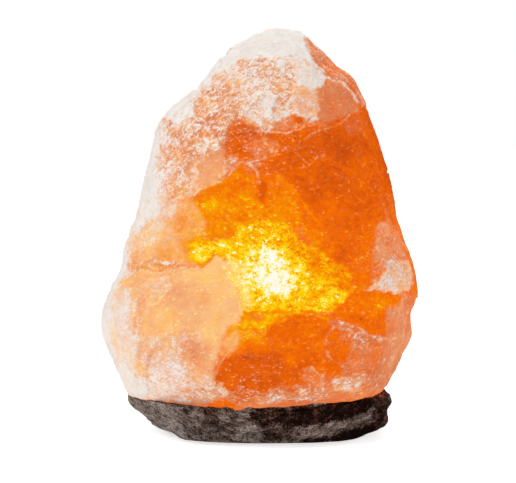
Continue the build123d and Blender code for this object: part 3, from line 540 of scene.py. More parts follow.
# what the photograph's face shows: outline, edge width in px, deep, milk, frost, grain, crackle, strength
FACE = [
    # whole face first, then smaller things over it
    ([(60, 0), (460, 0), (460, 440), (60, 440)], 5, 0.70, 0.25, 0.02, 0.3, 0.0, 1.0),
    ([(196, 56), (240, 44), (300, 20), (316, 60), (322, 90), (318, 118), (292, 126), (262, 132), (240, 118), (226, 140), (196, 152), (168, 150), (160, 122)], 6.0, 0.64, 0.92, 0.46, 0.60, 0.0, 0.9),
    # left flank, white, in a soft band
    ([(90, 60), (196, 60), (192, 98), (176, 116), (166, 134), (160, 170), (158, 205), (146, 224), (134, 240), (132, 262), (122, 280), (118, 310), (120, 345), (132, 372), (142, 396), (60, 420), (60, 60)], 14, 0.50, 0.95, 1.12, 0.12, 0.0, 1.0),
    # cap, white
    ([(150, 130), (196, 84), (214, 72), (240, 60), (262, 54), (280, 56), (298, 66), (314, 68), (309, 50), (303, 34), (300, 10), (150, 20)], 7, 0.58, 0.95, 1.14, 0.2, 0.0, 1.0),
    ([(279, 56), (292, 54), (308, 60), (312, 68), (300, 71), (284, 69)], 2.0, 0.63, 1.0, 0.55, 0.2, 0.0, 0.9),
    # peach skin below the cap
    ([(244, 64), (262, 58), (280, 60), (296, 70), (294, 79), (270, 80), (248, 80), (238, 76)], 6, 0.62, 0.95, 0.57, 0.75, 0.0, 0.95),
    ([(196, 100), (206, 84), (224, 76), (240, 80), (240, 100), (240, 112), (224, 116), (206, 116), (194, 112)], 8, 0.68, 0.88, 0.27, 0.70, 0.0, 0.95),
    ([(200, 76), (218, 66), (244, 66), (244, 80), (226, 84), (206, 92)], 4.0, 0.62, 0.95, 0.50, 0.50, 0.0, 0.8),
    # frosted patch
    ([(240, 82), (262, 77), (282, 82), (296, 88), (314, 90), (318, 105), (317, 118), (300, 117), (290, 113), (278, 120), (270, 126), (258, 131), (247, 120), (239, 104)], 3.0, 0.60, 0.92, 0.50, 0.55, 0.0, 1.0),
    ([(240, 82), (256, 78), (262, 92), (262, 110), (260, 124), (248, 118), (240, 104)], 4.0, 0.62, 0.95, 0.53, 0.6, 0.0, 0.9),
    ([(261, 98), (272, 97), (276, 106), (270, 113), (262, 110)], 2.4, 0.58, 1.0, 0.64, 0.3, 0.0, 0.9),
    ([(274, 82), (292, 88), (294, 102), (282, 108), (274, 98)], 3.0, 0.66, 0.85, 0.26, 0.62, 0.0, 0.9),
    ([(292, 88), (314, 90), (319, 104), (317, 117), (300, 115), (292, 108)], 3.0, 0.66, 1.0, 0.34, 0.15, 0.0, 0.95),
    ([(293, 71), (312, 69), (322, 70), (328, 78), (325, 86), (314, 88), (299, 87)], 1.6, 0.60, 1.0, 0.72, 0.15, 0.0, 1.0),
    # faces beyond the ridge
    ([(303, 28), (311, 50), (313, 64), (326, 74), (330, 62), (318, 40)], 2.2, 0.80, 0.70, 0.12, 0.60, 0.0, 1.0),
    ([(326, 58), (345, 66), (362, 84), (370, 108), (361, 106), (352, 90), (338, 79), (327, 74)], 2.0, 0.74, 0.50, 0.12, 0.50, 0.0, 1.0),
    # smooth salmon flat
    ([(317, 90), (330, 79), (346, 86), (357, 98), (361, 111), (350, 114), (340, 124), (321, 130), (319, 121)], 1.8, 0.84, 0.70, 0.08, 0.08, 0.0, 1.0),
    # lens flake
    ([(270, 123), (284, 116), (296, 113), (306, 118), (300, 127), (286, 131), (272, 130)], 1.8, 0.72, 0.60, 0.06, 0.4, 0.0, 1.0),
    ([(294, 117), (302, 117), (304, 122), (297, 124)], 1.4, 0.90, 0.15, 0.0, 0.2, 0.0, 0.8),
    # deep orange field
    ([(262, 132), (300, 131), (322, 129), (345, 118), (362, 114), (372, 150), (384, 190), (396, 225), (372, 226), (352, 262), (330, 262), (306, 222), (298, 198), (284, 180), (262, 170), (256, 150)], 4.0, 0.79, 0.0, -0.10, 0.22, 0.0, 1.0),
    ([(316, 132), (345, 120), (362, 118), (368, 150), (350, 164), (322, 156)], 9.0, 0.94, 0.03, -0.1, 0.16, 0.0, 0.9),
    ([(300, 168), (326, 170), (322, 196), (302, 190)], 8.0, 0.82, 0.0, -0.1, 0.1, 0.0, 0.8),
    ([(322, 200), (350, 196), (372, 222), (350, 250), (330, 248)], 8.0, 0.78, 0.0, -0.1, 0.25, 0.0, 0.8),
    ([(256, 132), (300, 132), (304, 150), (290, 160), (276, 158), (280, 144), (262, 138)], 4.0, 0.80, 0.20, -0.02, 0.50, 0.0, 0.85),
    ([(258, 158), (278, 158), (296, 150), (314, 140), (318, 152), (306, 168), (288, 174), (270, 180), (256, 176)], 5.0, 0.82, 0.12, -0.03, 0.46, 0.0, 0.7),
    ([(158, 136), (164, 118), (178, 98), (196, 82), (205, 72), (212, 60), (224, 54), (220, 66), (211, 80), (200, 92), (186, 104), (176, 116), (170, 132)], 4.0, 0.56, 0.95, 0.95, 0.20, 0.0, 0.9),
    # right strip
    ([(360, 108), (378, 118), (388, 150), (398, 185), (396, 208), (380, 180), (370, 142)], 3.0, 0.90, -0.1, -0.25, 0.20, 0.0, 1.0),
    ([(380, 152), (390, 158), (394, 178), (388, 180)], 3.0, 1.04, -0.2, -0.3, 0.10, 0.0, 0.9),
    ([(392, 196), (402, 205), (420, 245), (426, 290), (416, 300), (410, 262), (400, 230)], 2.6, 0.66, 0.22, -0.25, 0.10, 0.0, 1.0),
    # dark pocket and the mottled lobe beside it
    ([(224, 144), (230, 128), (242, 121), (256, 127), (260, 136), (250, 142), (248, 152), (238, 155), (228, 153)], 4.0, 0.80, 0.30, -0.02, 0.60, 0.0, 0.9),
    ([(252, 140), (264, 136), (278, 143), (276, 153), (264, 160), (252, 160)], 2.4, 0.70, 0.45, 0.02, 0.50, 0.0, 1.0),
    # upper left mass
    ([(160, 122), (178, 112), (196, 104), (226, 112), (222, 132), (221, 144), (224, 156), (238, 158), (230, 168), (222, 180), (206, 186), (194, 192), (180, 198), (184, 218), (170, 212), (164, 190), (162, 150)], 5.0, 0.69, 0.86, 0.22, 0.80, 0.0, 1.0),
    ([(160, 124), (172, 124), (176, 160), (172, 196), (160, 200), (156, 160)], 7.0, 0.58, 0.95, 0.62, 0.35, 0.0, 0.8),
    ([(196, 160), (222, 150), (226, 170), (210, 184), (190, 190), (186, 172)], 4.0, 0.68, 0.85, 0.06, 0.25, 0.0, 0.9),
    ([(196, 142), (204, 138), (220, 139), (219, 152), (206, 152), (196, 150)], 2.0, 0.56, 0.95, 0.66, 0.6, 0.0, 0.9),
    ([(190, 112), (206, 104), (228, 104), (226, 120), (210, 130), (192, 128)], 4.0, 0.68, 0.85, 0.30, 0.90, 0.0, 0.8),
    ([(172, 116), (190, 104), (196, 110), (188, 122), (174, 126)], 4.0, 0.56, 0.95, 0.92, 0.35, 0.0, 0.85),
    # amber lobes under it
    ([(184, 226), (184, 214), (194, 196), (211, 186), (228, 179), (240, 166), (257, 176), (262, 180), (277, 175), (292, 186), (302, 201), (314, 219), (298, 228), (276, 218), (262, 220), (240, 230), (206, 238), (190, 236)], 3.2, 0.46, 0.02, -0.12, 0.14, 0.12, 1.0),
    ([(258, 180), (276, 174), (292, 186), (296, 196), (280, 198), (262, 200)], 4.0, 0.64, 0.0, -0.1, 0.25, 0.0, 0.8),
    ([(178, 212), (194, 208), (202, 222), (196, 236), (180, 232)], 4.0, 0.47, 0.35, -0.04, 0.2, 0.0, 0.85),
    ([(206, 190), (228, 180), (244, 176), (246, 192), (222, 200)], 2.6, 0.66, 0.02, -0.12, 0.15, 0.05, 0.9),
    ([(236, 166), (254, 172), (257, 196), (246, 196)], 1.8, 0.62, 0.15, -0.1, 0.25, 0.0, 0.8),
    ([(256, 178), (268, 180), (266, 200), (256, 198)], 1.8, 0.92, 0.0, -0.1, 0.2, 0.0, 0.8),
    ([(276, 178), (292, 188), (302, 203), (312, 218), (296, 222), (280, 204)], 1.5, 0.55, 0.0, -0.12, 0.12, 0.05, 0.8),
    ([(296, 196), (306, 202), (328, 232), (334, 252), (318, 250), (306, 232)], 1.5, 0.64, 0.0, -0.12, 0.2, 0.15, 0.9),
    # peach left of the amber
    ([(150, 214), (176, 214), (192, 204), (204, 220), (200, 240), (184, 246), (160, 236), (150, 228)], 8.0, 0.43, 0.58, 0.02, 0.25, 0.0, 1.0),
    ([(134, 236), (158, 224), (186, 240), (200, 250), (196, 264), (164, 270), (134, 274), (128, 256)], 7.0, 0.49, 0.80, 0.06, 0.30, 0.0, 0.95),
    ([(180, 240), (200, 234), (212, 250), (204, 264), (184, 264)], 5.0, 0.33, 0.20, -0.06, 0.25, 0.2, 0.9),
    ([(146, 196), (166, 196), (182, 204), (182, 214), (166, 222), (162, 232), (152, 246), (130, 254), (126, 234), (142, 220)], 5.0, 0.49, 0.90, 0.50, 0.04, 0.0, 0.9),
    ([(138, 196), (156, 194), (160, 212), (146, 224), (134, 236), (128, 226)], 4.0, 0.52, 0.95, 0.74, 0.10, 0.0, 0.9),
    ([(156, 246), (182, 244), (190, 258), (170, 264), (156, 262)], 5.0, 0.42, 0.52, -0.03, 0.25, 0.0, 0.8),
    ([(128, 262), (150, 258), (168, 262), (186, 262), (180, 268), (150, 272), (130, 276)], 3.0, 0.54, 0.66, 0.12, 0.72, 0.0, 0.8),
    # crackled hollow
    ([(190, 247), (206, 240), (234, 236), (244, 224), (268, 219), (286, 224), (298, 240), (316, 250), (342, 266), (358, 280), (354, 296), (334, 310), (318, 313), (288, 314), (256, 314), (242, 316), (232, 284), (221, 261), (204, 264), (192, 258)], 3.0, 0.20, 0.0, -0.2, 0.05, 0.70, 1.0),
    ([(300, 244), (318, 250), (342, 266), (356, 282), (346, 292), (326, 282), (306, 264)], 5.0, 0.42, 0.0, -0.2, 0.05, 1.0, 0.9),
    ([(286, 228), (304, 246), (318, 262), (298, 258), (282, 240)], 4.0, 0.44, 0.0, -0.2, 0.05, 1.0, 0.8),
    ([(236, 228), (262, 220), (284, 226), (286, 244), (258, 248), (238, 246)], 5.0, 0.26, -0.1, -0.25, 0.05, 0.9, 0.9),
    ([(236, 206), (256, 204), (262, 218), (246, 228), (234, 222)], 4.0, 0.50, 0.0, -0.15, 0.12, 0.1, 0.9),
    ([(222, 262), (234, 260), (250, 268), (252, 306), (243, 314), (234, 290)], 3.0, 0.11, 0.58, 0.0, 0.1, 0.55, 0.9),
    ([(224, 306), (238, 304), (244, 318), (240, 328), (226, 326)], 3.0, 0.46, 0.88, 0.04, 0.1, 0.1, 0.9),
    ([(256, 252), (272, 246), (284, 256), (292, 268), (292, 286), (286, 298), (274, 298), (262, 286), (248, 284), (250, 266)], 6.0, 0.07, 0.0, -0.2, 0.05, 0.75, 1.0),
    ([(251, 256), (262, 248), (272, 252), (278, 264), (286, 274), (284, 286), (277, 294), (268, 285), (254, 276)], 4.0, 0.01, 0.0, -0.2, 0.05, 0.70, 1.0),
    # lower left lobe
    ([(122, 282), (141, 270), (158, 273), (179, 268), (204, 268), (216, 257), (222, 262), (233, 286), (243, 316), (234, 326), (222, 340), (214, 362), (212, 398), (150, 394), (132, 366), (122, 330)], 2.4, 0.53, 0.84, 0.03, 0.12, 0.0, 1.0),
    ([(110, 300), (124, 286), (136, 290), (140, 330), (142, 366), (150, 394), (120, 390), (104, 340)], 10, 0.52, 0.95, 0.54, 0.20, 0.0, 0.9),
    ([(90, 296), (118, 288), (125, 300), (127, 330), (131, 360), (144, 394), (110, 396), (90, 340)], 6.0, 0.52, 0.95, 0.78, -0.1, 0.0, 0.9),
    ([(110, 290), (128, 288), (134, 320), (134, 360), (120, 364), (110, 342)], 5.0, 0.55, 0.95, 0.50, -0.1, 0.0, 0.85),
    ([(200, 276), (220, 270), (231, 288), (232, 304), (212, 308), (196, 292)], 8.0, 0.38, 0.62, -0.1, 0.05, 0.0, 0.9),
    ([(214, 259), (222, 259), (230, 264), (232, 272), (222, 268)], 2.0, 0.46, 0.8, 0.14, 0.1, 0.0, 0.9),
    ([(142, 286), (150, 279), (168, 276), (170, 290), (156, 304), (146, 306)], 3.5, 0.56, 0.95, 0.34, 0.2, 0.0, 0.8),
    ([(130, 290), (142, 288), (146, 310), (140, 336), (130, 330)], 5.0, 0.58, 0.90, 0.20, 0.45, 0.0, 0.7),
    ([(186, 300), (236, 306), (242, 318), (230, 332), (214, 346), (190, 346), (170, 330)], 12, 0.56, 0.92, 0.14, 0.12, 0.0, 0.8),
    ([(156, 336), (200, 340), (214, 360), (212, 400), (150, 398), (136, 370)], 10, 0.58, 0.95, 0.36, 0.38, 0.0, 0.95),
    ([(160, 364), (172, 358), (184, 372), (180, 392), (166, 396), (158, 382)], 5.0, 0.60, 1.0, 0.57, 0.15, 0.0, 0.9),
    ([(132, 378), (146, 380), (156, 398), (140, 398)], 4.0, 0.58, 1.0, 0.78, 0.45, 0.0, 0.9),
    ([(190, 378), (212, 376), (216, 398), (194, 402)], 5.0, 0.60, 1.0, 0.46, 0.3, 0.0, 0.8),
    ([(176, 344), (196, 340), (206, 352), (196, 364), (180, 358)], 5.0, 0.66, 0.85, 0.10, 0.4, 0.0, 0.8),
    # lower middle
    ([(228, 330), (242, 318), (262, 316), (276, 320), (270, 332), (262, 340), (240, 348), (226, 348)], 2.4, 0.38, 0.12, -0.1, 0.15, 0.0, 1.0),
    ([(222, 340), (236, 330), (242, 344), (230, 356), (218, 356)], 4.0, 0.50, 0.75, 0.15, 0.3, 0.0, 0.8),
    ([(268, 330), (276, 319), (297, 314), (314, 315), (328, 319), (330, 350), (318, 372), (297, 368), (282, 360), (272, 347)], 1.8, 0.66, 0.0, -0.12, 0.18, 0.0, 1.0),
    ([(215, 379), (221, 362), (234, 356), (255, 352), (274, 354), (291, 368), (297, 381), (295, 398), (280, 402), (242, 402), (219, 398)], 2.2, 0.84, 0.0, -0.08, 0.40, 0.0, 1.0),
    ([(262, 372), (284, 370), (294, 384), (290, 396), (270, 394), (258, 384)], 6.0, 0.96, 0.0, -0.04, 0.45, 0.0, 0.8),
    ([(296, 366), (318, 372), (330, 356), (332, 374), (324, 380), (304, 374)], 4.0, 0.74, 0.20, 0.0, 0.3, 0.0, 0.8),
    ([(240, 340), (262, 338), (274, 344), (276, 353), (258, 352), (240, 355)], 3.0, 0.55, -0.05, -0.12, 0.15, 0.0, 0.9),
    ([(298, 354), (324, 353), (324, 368), (308, 372), (298, 368)], 3.0, 0.80, -0.05, -0.14, 0.25, 0.0, 0.95),
    # lower right
    ([(327, 321), (337, 322), (358, 327), (373, 336), (390, 340), (410, 334), (414, 356), (396, 390), (330, 402), (320, 384), (322, 366), (330, 348)], 2.2, 0.76, 0.52, 0.04, 0.50, 0.0, 1.0),
    ([(332, 342), (350, 340), (354, 354), (342, 364), (332, 358)], 4.0, 0.72, 0.05, -0.06, 0.3, 0.0, 0.9),
    ([(322, 322), (335, 326), (342, 338), (336, 350), (341, 362), (339, 375), (327, 379), (321, 366), (326, 350)], 2.6, 0.72, 0.04, -0.09, 0.25, 0.0, 0.92),
    ([(352, 346), (376, 350), (380, 366), (360, 372), (350, 362)], 6.0, 0.78, 0.50, 0.0, 0.30, 0.0, 0.8),
    ([(384, 336), (412, 330), (414, 356), (398, 384), (384, 378), (386, 356)], 5.0, 0.84, 0.88, 0.14, 0.20, 0.0, 0.95),
    ([(333, 379), (350, 378), (366, 374), (362, 385), (350, 390), (336, 390)], 4.0, 0.70, 1.0, 0.46, 0.75, 0.0, 0.9),
    ([(352, 388), (366, 390), (360, 400), (344, 402)], 4.0, 0.72, 1.0, 0.30, 0.6, 0.0, 0.8),
    ([(303, 370), (312, 368), (320, 376), (324, 386), (322, 397), (312, 402), (300, 400)], 2.2, 0.80, 0.50, 0.02, 0.45, 0.0, 0.9),
    ([(214, 385), (240, 392), (270, 394), (300, 389), (322, 386), (330, 396), (300, 404), (240, 405), (212, 402)], 4.0, 0.74, 0.70, 0.14, 0.85, 0.0, 0.95),
    ([(236, 376), (246, 378), (248, 392), (238, 392)], 2.0, 0.80, 0.3, 0.02, 0.7, 0.0, 0.8),
    ([(206, 386), (222, 384), (226, 396), (220, 404), (206, 402)], 4.0, 0.66, 0.90, 0.34, 0.5, 0.0, 0.9),
    ([(234, 388), (258, 388), (258, 402), (236, 402)], 4.0, 0.82, 0.45, 0.02, 0.7, 0.0, 0.8),
    ([(278, 380), (286, 378), (292, 392), (282, 394)], 2.0, 0.76, 0.5, 0.04, 0.8, 0.0, 0.8),
    ([(292, 386), (302, 384), (306, 398), (294, 400)], 2.0, 0.74, 0.8, 0.26, 0.8, 0.0, 0.8),
    ([(150, 402), (200, 404), (260, 404), (310, 400), (352, 392), (372, 384), (392, 380), (392, 396), (350, 408), (260, 416), (150, 416)], 1.6, 0.80, 0.52, 0.03, 0.2, 0.0, 0.9),
    ([(208, 404), (220, 397), (234, 404), (234, 412), (206, 412)], 1.4, 0.72, 0.05, -0.1, 0.1, 0.0, 0.9),
    # step at the right
    ([(330, 316), (346, 300), (358, 290), (396, 290), (402, 298), (396, 312), (398, 330), (384, 336), (372, 332), (352, 322)], 1.8, 0.62, 0.0, -0.2, 0.08, 0.0, 1.0),
    ([(350, 262), (356, 240), (372, 226), (380, 236), (372, 266), (362, 289), (350, 289)], 6.0, 0.64, 0.10, -0.04, 0.15, 0.0, 0.9),
    ([(376, 226), (388, 216), (400, 240), (407, 262), (400, 270), (384, 272), (374, 262)], 4.0, 0.72, 0.62, 0.12, 0.35, 0.0, 1.0),
    ([(371, 290), (375, 283), (386, 272), (390, 259), (407, 261), (413, 274), (410, 288), (398, 292), (392, 290)], 3.0, 0.66, 1.0, 0.38, 0.40, 0.0, 1.0),
    ([(376, 286), (390, 276), (400, 278), (396, 288)], 3.0, 0.60, 1.0, 0.58, 0.35, 0.0, 0.8),
    ([(402, 290), (412, 300), (410, 316), (412, 334), (396, 338), (396, 312)], 4.0, 0.80, 0.66, 0.12, 0.25, 0.0, 1.0),
    # joins between the lobes
    ([(222, 304), (236, 303), (242, 315), (238, 326), (224, 328)], 3.0, 0.50, 0.92, 0.06, 0.1, 0.0, 0.9),
    ([(264, 310), (278, 307), (294, 308), (292, 318), (276, 322), (262, 320)], 2.6, 0.35, 0.0, -0.12, 0.1, 0.1, 0.95),
    ([(178, 212), (192, 208), (200, 222), (194, 234), (180, 230)], 4.0, 0.48, 0.32, -0.04, 0.2, 0.0, 0.85),
    ([(176, 186), (192, 182), (200, 190), (190, 198), (178, 200)], 3.0, 0.62, 0.90, 0.34, 0.6, 0.0, 0.8),
    ([(178, 118), (194, 118), (198, 132), (184, 138), (176, 130)], 4.0, 0.62, 0.95, 0.46, 0.5, 0.0, 0.8),
    ([(190, 342), (210, 342), (212, 372), (200, 376), (190, 362)], 5.0, 0.72, 0.85, 0.12, 0.3, 0.0, 0.8),
    ([(256, 356), (274, 357), (282, 368), (270, 374), (256, 370)], 5.0, 0.84, -0.1, -0.12, 0.35, 0.0, 0.8),
    ([(366, 372), (392, 368), (392, 390), (370, 392)], 4.0, 0.92, 0.85, 0.10, 0.4, 0.0, 0.85),
    ([(146, 390), (186, 392), (190, 402), (160, 402), (144, 398)], 2.4, 0.66, 1.0, 0.55, 0.4, 0.0, 0.85),
    ([(190, 386), (224, 386), (224, 401), (190, 401)], 4.0, 0.70, 0.95, 0.36, 0.7, 0.0, 0.8),
    ([(268, 387), (300, 385), (302, 399), (270, 401)], 4.0, 0.76, 0.85, 0.26, 0.8, 0.0, 0.75),
    ([(174, 160), (196, 160), (196, 180), (178, 184)], 4.0, 0.66, 0.95, 0.33, 0.6, 0.0, 0.75),
    ([(160, 146), (178, 144), (178, 166), (162, 168)], 5.0, 0.67, 0.92, 0.36, 0.6, 0.0, 0.75),
    ([(140, 352), (162, 354), (166, 380), (148, 382)], 5.0, 0.62, 0.98, 0.54, 0.2, 0.0, 0.8),
    ([(386, 308), (403, 308), (407, 340), (388, 340)], 4.0, 0.80, 0.86, 0.10, 0.3, 0.0, 0.8),
    ([(344, 117), (362, 115), (368, 130), (352, 138), (342, 130)], 4.0, 0.84, 0.34, -0.02, 0.35, 0.0, 0.8),
    ([(206, 118), (227, 118), (226, 136), (210, 138)], 4.0, 0.73, 0.80, 0.12, 0.75, 0.0, 0.8),
    ([(236, 244), (258, 244), (258, 262), (240, 264)], 4.0, 0.17, 0.0, -0.2, 0.05, 0.70, 0.8),
    ([(262, 372), (300, 367), (305, 384), (290, 390), (264, 388)], 4.0, 0.84, 0.0, -0.10, 0.40, 0.0, 0.85),
    ([(142, 336), (162, 338), (162, 356), (146, 356)], 5.0, 0.58, 0.98, 0.42, 0.2, 0.0, 0.75),
    ([(194, 98), (210, 96), (212, 114), (196, 117)], 4.0, 0.63, 0.95, 0.42, 0.6, 0.0, 0.75),
    ([(226, 68), (244, 68), (244, 84), (228, 86)], 4.0, 0.62, 0.95, 0.54, 0.5, 0.0, 0.75),
    ([(178, 198), (196, 197), (196, 211), (180, 213)], 4.0, 0.52, 0.75, 0.03, 0.3, 0.0, 0.8),
]
FACE_LINES = [
    # thin bright splits: points, half width in px, deep, milk, frost, strength
    ([(178, 197), (194, 192), (211, 185), (228, 178), (232, 171), (240, 162), (252, 164), (258, 172), (259, 184)], 1.3, 0.60, 0.9, 0.50, 0.75),
    ([(249, 163), (262, 159), (276, 155), (279, 146)], 1.0, 0.62, 0.9, 0.52, 0.65),
    ([(298, 155), (304, 160), (310, 165), (317, 157)], 0.9, 0.64, 0.9, 0.55, 0.6),
    ([(296, 168), (304, 168), (310, 165)], 0.9, 0.66, 0.9, 0.45, 0.5),
    ([(258, 131), (270, 132), (285, 133), (300, 130), (307, 123), (318, 119)], 1.1, 0.60, 0.9, 0.60, 0.75),
    ([(270, 123), (284, 116), (296, 112), (306, 117), (318, 120)], 0.9, 0.6, 1.0, 0.8, 0.8),
    ([(304, 142), (310, 134), (321, 130), (340, 124), (351, 114), (360, 111)], 1.1, 0.72, 0.8, 0.34, 0.6),
    ([(328, 78), (344, 84), (352, 92), (358, 102)], 1.4, 0.62, 0.9, 0.75, 0.85),
    ([(350, 84), (362, 109), (369, 136), (373, 165), (377, 196), (385, 217), (393, 229)], 2.6, 0.82, 0.22, -0.03, 0.4),
    ([(380, 195), (390, 225), (401, 252), (408, 276)], 2.0, 0.70, 0.6, 0.10, 0.5),
    ([(122, 280), (141, 270), (158, 274), (179, 268), (192, 268), (204, 268), (216, 257)], 0.9, 0.5, 1.0, 0.60, 0.8),
    ([(132, 274), (144, 266), (154, 263), (168, 264)], 1.2, 0.55, 1.0, 0.75, 0.6),
    ([(216, 257), (222, 262), (228, 276), (233, 286), (238, 302), (243, 316)], 0.8, 0.26, 0.95, 0.10, 0.6),
    ([(363, 290), (380, 290), (396, 290)], 0.9, 0.62, 1.0, 0.75, 0.7),
    ([(327, 320), (337, 322), (358, 327), (373, 336), (390, 340), (408, 334)], 1.2, 0.7, 0.85, 0.40, 0.7),
    ([(346, 330), (354, 334), (356, 344), (350, 352)], 1.2, 0.7, 0.85, 0.40, 0.6),
    ([(334, 326), (326, 338), (326, 352), (332, 360), (344, 366)], 1.2, 0.7, 0.85, 0.36, 0.6),
    ([(303, 369), (312, 367), (320, 375), (324, 385), (322, 396), (314, 401)], 1.0, 0.66, 0.9, 0.48, 0.7),
    ([(213, 396), (215, 379), (221, 362), (230, 350)], 1.0, 0.6, 0.9, 0.42, 0.6),
    ([(270, 332), (272, 347), (282, 360), (297, 369)], 0.9, 0.8, 0.2, 0.02, 0.6),
    ([(188, 150), (196, 146), (204, 150)], 1.2, 0.5, 1.0, 0.85, 0.7),
    ([(303, 30), (309, 46), (313, 62)], 0.9, 0.7, 0.9, 0.55, 0.7),
    ([(313, 66), (326, 72), (333, 80)], 0.9, 0.7, 0.9, 0.45, 0.6),
    ([(277, 176), (292, 186), (302, 201), (314, 218)], 0.8, 0.30, 0.1, -0.1, 0.6),
    ([(243, 317), (256, 314), (280, 315), (297, 313), (314, 315), (327, 319)], 0.9, 0.34, 0.1, -0.1, 0.6),
    ([(300, 222), (312, 236), (330, 252)], 0.8, 0.48, 0.2, -0.05, 0.5),
    # thin dark ones, where one flake lies over another
    ([(136, 268), (150, 264), (164, 267), (182, 264), (204, 265), (214, 255)], 0.9, 0.60, 0.45, -0.1, 0.6),
    ([(263, 178), (260, 188), (262, 200), (268, 208)], 0.9, 0.86, 0.1, -0.1, 0.6),
    ([(280, 175), (294, 184), (305, 200), (317, 218), (328, 232), (338, 248)], 0.8, 0.74, 0.05, -0.1, 0.55),
    ([(208, 196), (226, 186), (244, 182), (256, 184)], 0.8, 0.68, 0.05, -0.1, 0.45),
    ([(267, 326), (269, 340), (274, 352), (284, 363), (298, 371)], 0.8, 0.88, 0.1, -0.05, 0.6),
    ([(244, 314), (256, 311), (280, 312), (300, 310), (326, 315)], 0.8, 0.62, 0.1, -0.1, 0.55),
    ([(296, 142), (302, 150), (296, 158), (288, 160)], 0.9, 0.98, 0.1, -0.05, 0.5),
    ([(310, 184), (324, 178), (338, 180)], 0.8, 0.92, 0.05, -0.1, 0.4),
    ([(330, 262), (342, 258), (352, 262)], 0.8, 0.80, 0.1, -0.1, 0.5),
]
var_a, var_b, var_c = fbm(P, 15.0, 46, 3), fbm(P, 15.0, 47, 3), fbm(P, 12.0, 48, 3)
rim = np.zeros(len(P))
for outline, width, a, b, c, g, k, strength in FACE:
    away = polygon_distance(UR, VR, outline)
    on = front * strength
    w = smooth(1.3 * width + 0.5, -1.3 * width - 0.5, away) * on
    deep += (a + 0.06 * mass + 0.07 * var_a - deep) * w
    crackle += (k - crackle) * w
    w = smooth(1.1 * width + 0.3, -1.1 * width - 0.3, away) * on
    milk += (b + 0.16 * var_b - milk) * w
    grain += (g - grain) * w
    w = smooth(0.9 * width + 0.2, -0.9 * width - 0.2, away) * on
    frost += (c + 0.16 * var_c - frost) * w
    inside = smooth(2.0 * width, -2.0 * width, away) * on
    rim *= 1 - inside
    # bright rim lines along the edges of small frosted patches are painted highlights, and the thin deeper orange line
    # just outside each is a painted shadow line
    if c > 0.15 and width < 4.5:
        broken = smooth(-0.5, 0.2, fbm(P, 7.0, 52, 2)) * on
        rim = np.maximum(rim, np.exp(-((away + 0.8) / 1.0) ** 2) * broken)
        deep += 0.05 * np.exp(-((away - 1.6) / 1.2) ** 2) * broken
UF, VF = U + 0.45 * rag_u, V + 0.45 * rag_v
for pts, width, a, b, c, strength in FACE_LINES:
    d = line_distance(UF, VF, pts) / width
    w = smooth(1.6, 0.3, d) * front * strength * (0.55 + 0.45 * smooth(-0.4, 0.3, fbm(P, 4.0, 51, 2)))
    deep += (a - deep) * w
    milk += (b - milk) * w
    frost += (c - frost) * w

# convex edges are painted whiter, partly as wear and partly as painted highlight, hollows are painted deeper orange as
# painted shade, and slopes towards the key light are painted paler as painted light
smooth_p = relax(P, edges, 5)
edge_1 = np.clip(((P - smooth_p) * N).sum(1) / 0.045, -2.2, 2.2)
smooth_p = relax(smooth_p, edges, 30)
edge_2 = np.clip(((P - smooth_p) * N).sum(1) / 0.16, -2.0, 2.0)
slope_shading = np.clip(((N - NS) * (-0.58, -0.42, 0.70)).sum(1) * 2.2, -1.0, 1.0)
calm = 1 - 0.87 * front
deep -= (0.040 * edge_1 + 0.045 * edge_2 + 0.080 * slope_shading) * calm
frost += (0.060 * edge_1 + 0.060 * edge_2 + 0.100 * slope_shading) * (0.25 + grain) * calm
# this field also brightens the glow in the material: painted light on slopes towards the key light
put_field(me, "slope_shading", slope_shading * skin * ((0.3 + 0.7 * grain) * 0.6 * front + 1.5 * (1 - front)))

# the drilled hole, lit by the bulb, and the flat underside
bulb_near = np.abs(P[:, 2] - 90.0)
deep = np.where(hole, 0.06 + 0.0062 * bulb_near + 0.10 * lump, deep)
milk = np.where(hole, 0.35 + 0.3 * lump, milk)
frost = np.where(hole, 0.12 + 0.25 * fbm(P, 6.0, 61, 2), frost)
crackle = np.where(hole, 0.2, crackle)
under = floor_face | plug_hole
deep = np.where(under, 0.86, deep)
milk = np.where(under, 0.4, milk)
frost = np.where(under, 0.35, frost)
for name, field in (("deep", deep), ("milk", milk), ("frost", frost), ("grain", grain), ("crackle", crackle), ("rim", rim)):
    put_field(me, name, field)

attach(salt, "lamp")
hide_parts("salt_crystal")

# ------------------------------------------------------------------ salt crystal: material
m = Mat("rock_salt", IOR=1.45, Specular_IOR_Level=0.08)
drift = m.warped(42, 0.014, 4)
crumple = m.warped(150, 0.005, 4)
cloud_a = m.noise(34, 5, 0.6, 0.0, drift)
cloud_b = m.noise(120, 5, 0.62, 0.3, crumple)
cloud_c = m.noise(400, 4, 0.62)
fine = m.noise(1250, 3, 0.6)
cell_a = m.voronoi(210, "F1", crumple, out=1)
cell_b = m.voronoi(520, "F1", m.warped(500, 0.0016), out=1)
lean = m.t.nodes.new("ShaderNodeMapping")
lean.inputs["Rotation"].default_value = (0.35, math.radians(38), 0.2)
lean.inputs["Scale"].default_value = (0.50, 1.0, 1.1)
m.feed(lean.inputs["Vector"], m.warped(260, 0.006))
fleck_d = m.voronoi(620, "F1", lean.outputs[0])
fleck_c = m.voronoi(620, "F1", lean.outputs[0], out=1)
foil = m.noise(300, 6, 0.68, 1.1, m.warped(200, 0.006, 4))
foil_c = m.voronoi(360, "F1", m.warped(240, 0.005, 4), out=1)
split_a = m.voronoi(58, "DISTANCE_TO_EDGE", m.warped(52, 0.018, 5))
split_b = m.voronoi(170, "DISTANCE_TO_EDGE", m.warped(130, 0.007, 5))
deep_a, milk_a, frost_a, grain_a, crackle_a, rim_highlight_a = (m.attr(x) for x in ("deep", "milk", "frost", "grain", "crackle", "rim"))


